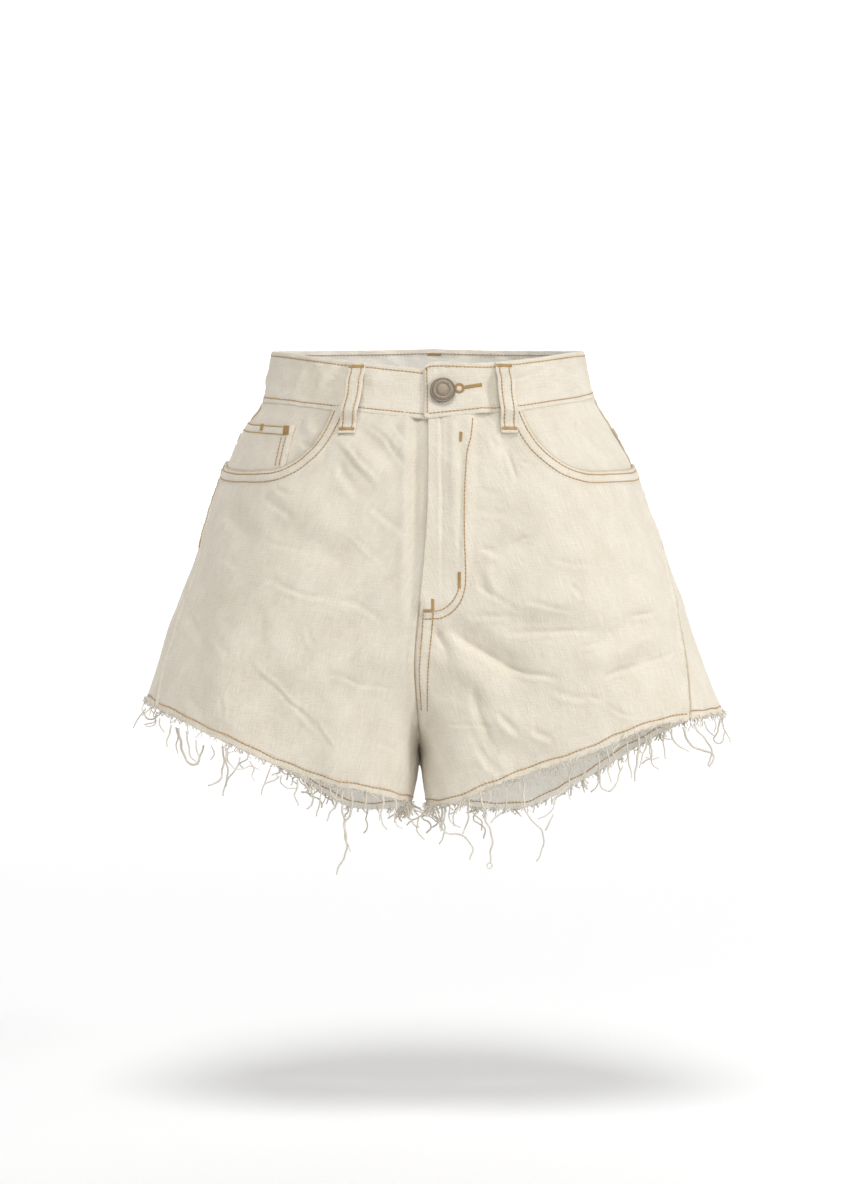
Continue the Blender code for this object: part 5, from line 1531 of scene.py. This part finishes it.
def add_button():
    """A tack button with a low flat face, a ring of small worn bosses and a narrow rim, on its stem."""
    made = lathe("button", BUTTON_PROFILE, 132)
    for point in made.data.vertices:
        radius = math.hypot(point.co.x, point.co.y) / MM
        if point.co.z > 2.9 * MM and radius < 8.4:
            turn = math.atan2(point.co.y, point.co.x)
            boss = math.cos(BUTTON_BOSSES * turn) * bell((radius - BOSS_RADIUS) / 0.9)
            point.co.z += (0.13 * boss + 0.05 * noise.noise(point.co * 700)) * MM
    ring = np.array(ring_at(BUTTON_X))
    place, _ = band_points(ring, np.array(sum(BUTTONHOLE_SHARE) / 2), BAND_PROUD + SEAM_GAP)
    axis = outward(LEFT, 2 - ring, BUTTON_Z)
    made.location = place * MM
    made.rotation_euler = (math.acos(axis[2]), 0, math.atan2(axis[1], axis[0]) + math.pi / 2)
    return made


# ---------------------------------------------------------------- threads
def tubes(name, paths, radii):
    """One mesh of many tapering threads with square sections, each a path of points in mm."""
    angles = math.pi / 2 * np.arange(4)
    points, faces = [], []
    base = 0
    for path, radius in zip(paths, radii):
        along = unit(np.gradient(path, axis=0))
        first = unit(np.cross(along, (0.31, 0.9, 0.23)))
        second = np.cross(along, first)
        ring = first[:, None] * np.cos(angles)[:, None] + second[:, None] * np.sin(angles)[:, None]
        points.append((path[:, None] + ring * np.reshape(radius, (-1, 1, 1))).reshape(-1, 3))
        grid = base + np.arange(len(points[-1])).reshape(-1, 4)
        after = np.roll(grid, -1, axis=1)
        faces += np.stack([grid[:-1], after[:-1], after[1:], grid[1:]], axis=-1).reshape(-1, 4).tolist()
        faces += [grid[0, ::-1].tolist(), grid[-1].tolist()]
        base += grid.size
    mesh = bpy.data.meshes.new(name)
    mesh.from_pydata((np.concatenate(points) * MM).tolist(), [], faces)
    mesh.shade_smooth()
    return placed(name + "_yarns", mesh)


def hem_line(side):
    """Closely spaced points of a leg's cut edge, in the middle of the cloth, with p and the normal."""
    ends = zip(hem_bottom(side, FRONT_FACE, 700), hem_bottom(side, BACK_FACE, 700))
    p, z = (np.concatenate([front, back[::-1]]) for front, back in ends)
    base, normal = form(side, p, z), outward(side, p, z)
    return base + normal * (soft_height(side, base, normal) - CLOTH / 2)[:, None], p, normal


def wandering(chance, start, heading, length, sway, fall=0.35):
    """A loose thread: it sets off along the heading, strays to either side and hangs down more and more."""
    steps = max(int(length / 1.3), 4)
    turn = np.zeros(3)
    path = [start]
    for _ in range(steps):
        turn = 0.7 * turn + [chance.gauss(0, share * sway) for share in (1, 0.6, 0.5)]
        heading = unit(heading + turn - (0, 0, fall))
        path.append(path[-1] + heading * length / steps)
    return np.array(path)


def traced(flat, line, chance):
    """A strand through its (x, z) places, given in one row, as deep as the front hem it grows from."""
    front = line[line[:, 1] < 0]
    root = front[np.argmin(np.hypot(front[:, 0] - flat[0], front[:, 2] - flat[1]))]
    at, places = smooth_line(np.reshape(flat, (-1, 2)), 1.2)
    away = -1.2 + 2.5 * np.sin(at / 9.0 + chance.uniform(0, 6)) * np.minimum(at / 12.0, 1)
    wobble = 0.35 * np.sin(at / 1.9 + chance.uniform(0, 6))
    return np.stack([places[:, 0] + wobble, root[1] + away, places[:, 1]], axis=-1)


def add_hem_fringes():
    """The freed threads: strands as they are seen in front, chance ones behind, and short tufts all round."""
    chance = random.Random(7)
    for side in (RIGHT, LEFT):
        line, place, normal = hem_line(side)
        tangent = unit(np.gradient(line, axis=0))
        walked = walked_length(line)
        paths, radii = [], []

        def spot_at(distance):
            return int(np.searchsorted(walked, distance)) % len(line)

        for thick, *flat in STRANDS:
            if (flat[0] < STRANDS_PART_X) == (side == RIGHT):
                path = traced(flat, line, chance)
                paths.append(path)
                radii.append(thick * (1 - 0.35 * np.linspace(0, 1, len(path)) ** 2))
        for distance in np.arange(4, walked[-1], TUFT_PITCH):
            spot = spot_at(distance + chance.uniform(-3, 3))
            full = chance.random() ** 2
            for _ in range(1 + int(5 * full)):
                start = line[spot] + tangent[spot] * chance.gauss(0, 1.2)
                start = start + normal[spot] * chance.uniform(-0.5, 0.6)
                aside = tangent[spot] * chance.gauss(0, 0.8) + normal[spot] * chance.gauss(0.25, 0.45)
                length = min(3.6 + chance.expovariate(1 / (1.2 + 2.6 * full)), 13)
                paths.append(wandering(chance, start + (0, 0, 1.4), aside + (0, 0, -1.0), length, 0.28))
                radii.append(chance.uniform(0.24, 0.48))
        for _ in range(EDGE_YARNS):
            spot = spot_at(chance.uniform(2, walked[-1] - 2))
            way = tangent[spot] * chance.choice((-1, 1)) + normal[spot] * 0.25
            start = line[spot] + normal[spot] * chance.uniform(0.1, 0.8) + (0, 0, chance.uniform(-0.8, 1.0))
            paths.append(wandering(chance, start, way, chance.uniform(3, 8), 0.22, 0.05))
            radii.append(chance.uniform(0.2, 0.38))
        hidden = np.nonzero((place > 0.49) | (place < 0.10))[0]
        for _ in range(BACK_STRANDS):
            spot = int(hidden[int(chance.random() * len(hidden))])
            length = min(6 + chance.expovariate(1 / 11.0), line[spot][2] - STRANDS_LOWEST_Z, 48)
            for _ in range(chance.choice((1, 1, 1, 2, 3))):
                start = line[spot] + tangent[spot] * chance.gauss(0, 0.7) + (0, 0, 1.4)
                aside = tangent[spot] * chance.gauss(0, 0.7) + normal[spot] * 0.12
                own_length = length * chance.uniform(0.6, 1)
                paths.append(wandering(chance, start, aside + (0, 0, -1), own_length, 0.3, 0.25))
                radii.append(chance.uniform(0.4, 0.72))
        name = side_name("hem_fringe", side)
        THREADS.append((tubes(name, paths, radii), name))


THREADS = []


# ---------------------------------------------------------------- materials
WHITE = (1.0, 1.0, 1.0)
INSIDE_PAINTED_LIGHT = (1.18, 1.24, 1.36)  # painted light on the inside faces: their colour over the outside's
WAVE_SCALE = math.pi / 10          # a wave texture's scale times its pitch


def tinted(colour, shade):
    """A colour times one shade, or one for each channel, and no brighter than white."""
    return tuple(np.minimum(np.array(colour) * shade, 1).tolist())


class Nodes:
    """Short names for building a material's nodes."""

    def __init__(self, name):
        self.material = bpy.data.materials.new(name)
        self.material.use_nodes = True
        self.tree = self.material.node_tree
        self.shader = self.tree.nodes["Principled BSDF"]

    def add(self, kind, settings=(), **inputs):
        node = self.tree.nodes.new(kind)
        for key, value in dict(settings).items():
            setattr(node, key, value)
        return self.fill(node, **inputs)

    def fill(self, node, **inputs):
        for key, value in inputs.items():
            self.put(node, key.replace("_", " "), value)
        return node

    def shaded(self, **inputs):
        self.fill(self.shader, **inputs)
        return self.material

    def put(self, node, socket, value):
        if isinstance(value, bpy.types.NodeSocket):
            self.tree.links.new(value, node.inputs[socket])
        else:
            node.inputs[socket].default_value = value

    def math(self, operation, first, second=0.0):
        node = self.tree.nodes.new("ShaderNodeMath")
        node.operation = operation
        self.put(node, 0, first)
        self.put(node, 1, second)
        return node.outputs[0]

    def weighted(self, first, *others):
        """The sum of (value, weight) pairs."""
        total = self.math("MULTIPLY", *first)
        for other in others:
            total = self.math("ADD", total, self.math("MULTIPLY", *other))
        return total

    def stretched_noise(self, across, down, detail=2.0, seed=0.0):
        """Noise of the cloth's UV map with lumps of the given size in mm across and down."""
        scale = (1 / (across * MM), 1 / (down * MM), 1)
        place = self.add("ShaderNodeMapping", Vector=self.uv(), Scale=scale, Location=(seed, seed * 1.7, 0))
        inputs = {"Vector": place.outputs[0], "Detail": detail, "Scale": 1.0}
        return self.add("ShaderNodeTexNoise", {"noise_dimensions": "2D"}, **inputs).outputs["Fac"]

    def uv(self):
        if not hasattr(self, "uv_socket"):
            self.uv_socket = self.add("ShaderNodeUVMap", {"uv_map": "cloth"}).outputs[0]
        return self.uv_socket

    def bump(self, height, distance, strength=1.0):
        return self.add("ShaderNodeBump", Height=height, Distance=distance, Strength=strength).outputs[0]

    def ramp(self, value, *stops):
        node = self.add("ShaderNodeValToRGB", Fac=value)
        while len(node.color_ramp.elements) < len(stops):
            node.color_ramp.elements.new(0.5)
        for element, (place, colour) in zip(node.color_ramp.elements, stops):
            element.position = place
            element.color = (*colour, 1)
        return node.outputs[0]

    def mix(self, share, first, second, blend="MIX"):
        node = self.tree.nodes.new("ShaderNodeMix")
        node.data_type = "RGBA"
        node.blend_type = blend
        self.put(node, 0, share)
        for socket, value in ((6, first), (7, second)):
            self.put(node, socket, (*value, 1) if isinstance(value, tuple) else value)
        return node.outputs[2]


def denim_material(name, colour):
    """Ecru cotton twill: a steep diagonal rib, slubby yarns, faint tone changes and fuzz, with painted shade
    along the seams' grooves and painted light on the inside faces.
    """
    nodes = Nodes(name)
    turned = nodes.add("ShaderNodeMapping", Vector=nodes.uv(), Rotation=(0, 0, math.radians(RIB_ANGLE)))
    rib = nodes.add(
        "ShaderNodeTexWave", {"wave_type": "BANDS", "bands_direction": "X"}, Vector=turned.outputs[0],
        Scale=WAVE_SCALE / (RIB_PITCH * MM), Distortion=1.2, Detail=1.0, Detail_Scale=0.6,
    ).outputs["Fac"]
    warp = nodes.stretched_noise(0.55, 14, 2.0, 1.0)
    weft = nodes.stretched_noise(9, 0.6, 2.0, 5.0)
    grain = nodes.stretched_noise(0.8, 0.8, 3.0, 9.0)
    patches = nodes.stretched_noise(22, 30, 3.0, 3.0)
    crumple = nodes.stretched_noise(5.0, 6.5, 2.0, 7.0)
    yarns = nodes.weighted((warp, 0.9), (weft, 0.6))
    height = nodes.weighted((rib, 0.5), (yarns, 1.0), (grain, 0.9), (crumple, 1.6))
    tone = nodes.weighted((yarns, 0.55), (grain, 0.45))
    dark, light = tinted(colour, (0.87, 0.855, 0.83)), tinted(colour, (1.06, 1.06, 1.07))
    painted_shading = nodes.add("ShaderNodeAttribute", {"attribute_name": "painted_shading"}).outputs["Fac"]
    total = nodes.ramp(tone, (0.45, dark), (0.85, light))
    # Colour multipliers: random patches, the twill's rib, and painted shade along the seams' grooves.
    for value, *stops in (
        (patches, (0.3, (0.94, 0.93, 0.905)), (0.7, WHITE)),
        (rib, (0.0, (0.95, 0.94, 0.925)), (0.6, WHITE)),
        (painted_shading, (0.15, WHITE), (0.85, (0.64, 0.56, 0.45))),
    ):
        total = nodes.mix(1.0, total, nodes.ramp(value, *stops), "MULTIPLY")
    # Painted light: the inside faces, marked by INSIDE, are made paler.
    inside_painted_light = nodes.mix(nodes.math("LESS_THAN", painted_shading, INSIDE / 2), WHITE, INSIDE_PAINTED_LIGHT)
    return nodes.shaded(
        Base_Color=nodes.mix(1.0, total, inside_painted_light, "MULTIPLY"), Normal=nodes.bump(height, 0.00045, 0.6),
        Roughness=0.92, Specular_IOR_Level=0.25, Sheen_Weight=0.12, Sheen_Roughness=0.5,
    )


def thread_material(name, colour, roughness=0.7):
    """Twisted yarn: short slanted lines and a slow change of tone along it."""
    nodes = Nodes(name)
    place = nodes.add("ShaderNodeTexCoord").outputs["Object"]
    fine = nodes.add("ShaderNodeTexNoise", Vector=place, Scale=1500.0, Detail=1.0).outputs[0]
    slow = nodes.add("ShaderNodeTexNoise", Vector=place, Scale=60.0, Detail=1.0).outputs[0]
    both = nodes.weighted((fine, 0.5), (slow, 0.5))
    return nodes.shaded(
        Base_Color=nodes.ramp(both, (0.38, tinted(colour, 0.8)), (0.62, tinted(colour, 1.15))),
        Normal=nodes.bump(fine, 0.0002, 0.5), Roughness=roughness, Sheen_Weight=0.1,
    )


def tape_material(name, colour):
    """The zip's woven tape, ribbed across."""
    nodes = Nodes(name)
    inputs = {"Vector": nodes.uv(), "Scale": WAVE_SCALE / (0.6 * MM)}
    rib = nodes.add("ShaderNodeTexWave", {"bands_direction": "Y"}, **inputs).outputs["Fac"]
    return nodes.shaded(
        Base_Color=nodes.ramp(rib, (0.2, tinted(colour, 0.85)), (0.7, colour)),
        Normal=nodes.bump(rib, 0.0002), Roughness=0.85,
    )


def metal_material(name, colour):
    """Antique silver: worn bright on its high rings, darker in its grooves, faintly scratched."""
    nodes = Nodes(name)
    place = nodes.add("ShaderNodeTexCoord").outputs["Object"]
    height = nodes.add("ShaderNodeSeparateXYZ", Vector=place).outputs["Z"]
    grime = nodes.add("ShaderNodeTexNoise", Vector=place, Scale=620.0, Detail=4.0).outputs[0]
    uneven = nodes.weighted((height, 1 / MM), (grime, 1.2))
    tone = nodes.add("ShaderNodeMapRange", Value=uneven, From_Min=3.5, From_Max=4.9).outputs[0]
    stops = (0.0, tinted(colour, 0.5)), (0.5, colour), (1.0, tinted(colour, 1.3))
    rough = nodes.add("ShaderNodeMapRange", Value=grime, To_Min=0.45, To_Max=0.7).outputs[0]
    return nodes.shaded(
        Base_Color=nodes.ramp(tone, *stops), Normal=nodes.bump(grime, 0.0001), Roughness=rough, Metallic=1.0,
    )


def finish(made, name, material, slot):
    made.data.materials.append(material)
    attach(made, "root")
    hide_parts(name)


def main():
    add_fronts()
    add_backs()
    add_yokes()
    add_pocket_facings()
    add_coin_pocket()
    add_back_pockets()
    add_waistband()
    add_belt_loops()
    add_fly()
    button = add_button()
    add_hem_fringes()
    sew_fronts()
    sew_backs()
    sew_waistband()
    sew_loops()
    sew_coin_pocket()
    sew_buttonhole()
    denim = denim_material("ecru_denim", ECRU)
    fray = thread_material("frayed_yarn", YARN_WHITE, 0.85)
    tan = thread_material("tan_thread", THREAD_TAN)
    tape = tape_material("zip_tape", TAPE)
    silver = metal_material("antique_silver", SILVER)
    stitches = joined_threads("top_stitching", THREAD_MESHES)
    stitches.data.materials.append(tan)
    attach(stitches, "root")
    for name, piece in PIECES.items():
        finish(piece.object, name, *((tape, "zip_tape") if name == "zip" else (denim, "denim")))
    for made, name in THREADS:
        finish(made, name, fray, "fray")
    finish(button, "button", silver, "button_metal")


# ---------------------------------------------------------------- camera, light and floor
def add_light(name, kind, power, **settings):
    data = bpy.data.lights.new(name, kind)
    data.energy = power
    for key, value in settings.items():
        setattr(data, key, value)
    return placed(name, data)


def add_area_light(name, location, target, size, power):
    made = add_light(name, "AREA", power, shape="DISK", size=size)
    made.location = location
    made.rotation_euler = (Vector(target) - Vector(location)).to_track_quat("-Z", "Y").to_euler()


def add_studio():
    data = bpy.data.cameras.new("camera")
    data.lens = 91.2
    data.sensor_width = 36
    camera = placed("camera", data)
    camera.location = (0.0016, -2.4, -0.1646)
    camera.rotation_euler = (math.pi / 2, 0, 0)
    bpy.context.scene.camera = camera
    world = bpy.data.worlds.new("studio")
    bpy.context.scene.world = world
    world.use_nodes = True
    world.node_tree.nodes["Background"].inputs["Color"].default_value = (1, 1, 1, 1)
    world.node_tree.nodes["Background"].inputs["Strength"].default_value = 0.42
    bpy.context.scene.view_settings.view_transform = "Standard"
    add_area_light("key", (2.3, -1.6, 0.75), (0, 0, -0.15), 0.6, 27)
    add_area_light("fill", (0.0, -2.9, 0.9), (0, 0, -0.1), 1.0, 4.0)
    overhead = add_light("overhead", "SUN", 1.5, angle=math.radians(24))
    overhead.rotation_euler = (math.radians(30), 0, 0)


def add_stage():
    """A white floor that curves up into a white wall behind."""
    bend_starts, bend, cells = 4.0, 3.0, 16
    profile = [(-8.0, FLOOR_Z), (bend_starts, FLOOR_Z)]
    for cell in range(1, cells + 1):
        angle = math.pi / 2 * cell / cells
        profile.append((bend_starts + bend * math.sin(angle), FLOOR_Z + bend * (1 - math.cos(angle))))
    profile.append((bend_starts + bend, 9.0))
    points = [(x, y, z) for y, z in profile for x in (-9.0, 9.0)]
    faces = [(2 * n, 2 * n + 1, 2 * n + 3, 2 * n + 2) for n in range(len(profile) - 1)]
    mesh = bpy.data.meshes.new("stage")
    mesh.from_pydata(points, [], faces)
    mesh.shade_smooth()
    stage = placed("stage", mesh)
    nodes = Nodes("white_paper")
    normal = nodes.add("ShaderNodeNewGeometry").outputs["Normal"]
    upward = nodes.add("ShaderNodeSeparateXYZ", Vector=normal).outputs["Z"]
    heights = {"From_Min": 1.0, "From_Max": 0.45, "To_Min": FLOOR_GLOW, "To_Max": WALL_GLOW}
    glow = nodes.add("ShaderNodeMapRange", Value=upward, **heights).outputs[0]
    mesh.materials.append(nodes.shaded(
        Base_Color=(0.855, 0.855, 0.855, 1), Roughness=1.0, Specular_IOR_Level=0.0,
        Emission_Color=(1, 1, 1, 1), Emission_Strength=glow,
    ))


main()
add_studio()
add_stage()
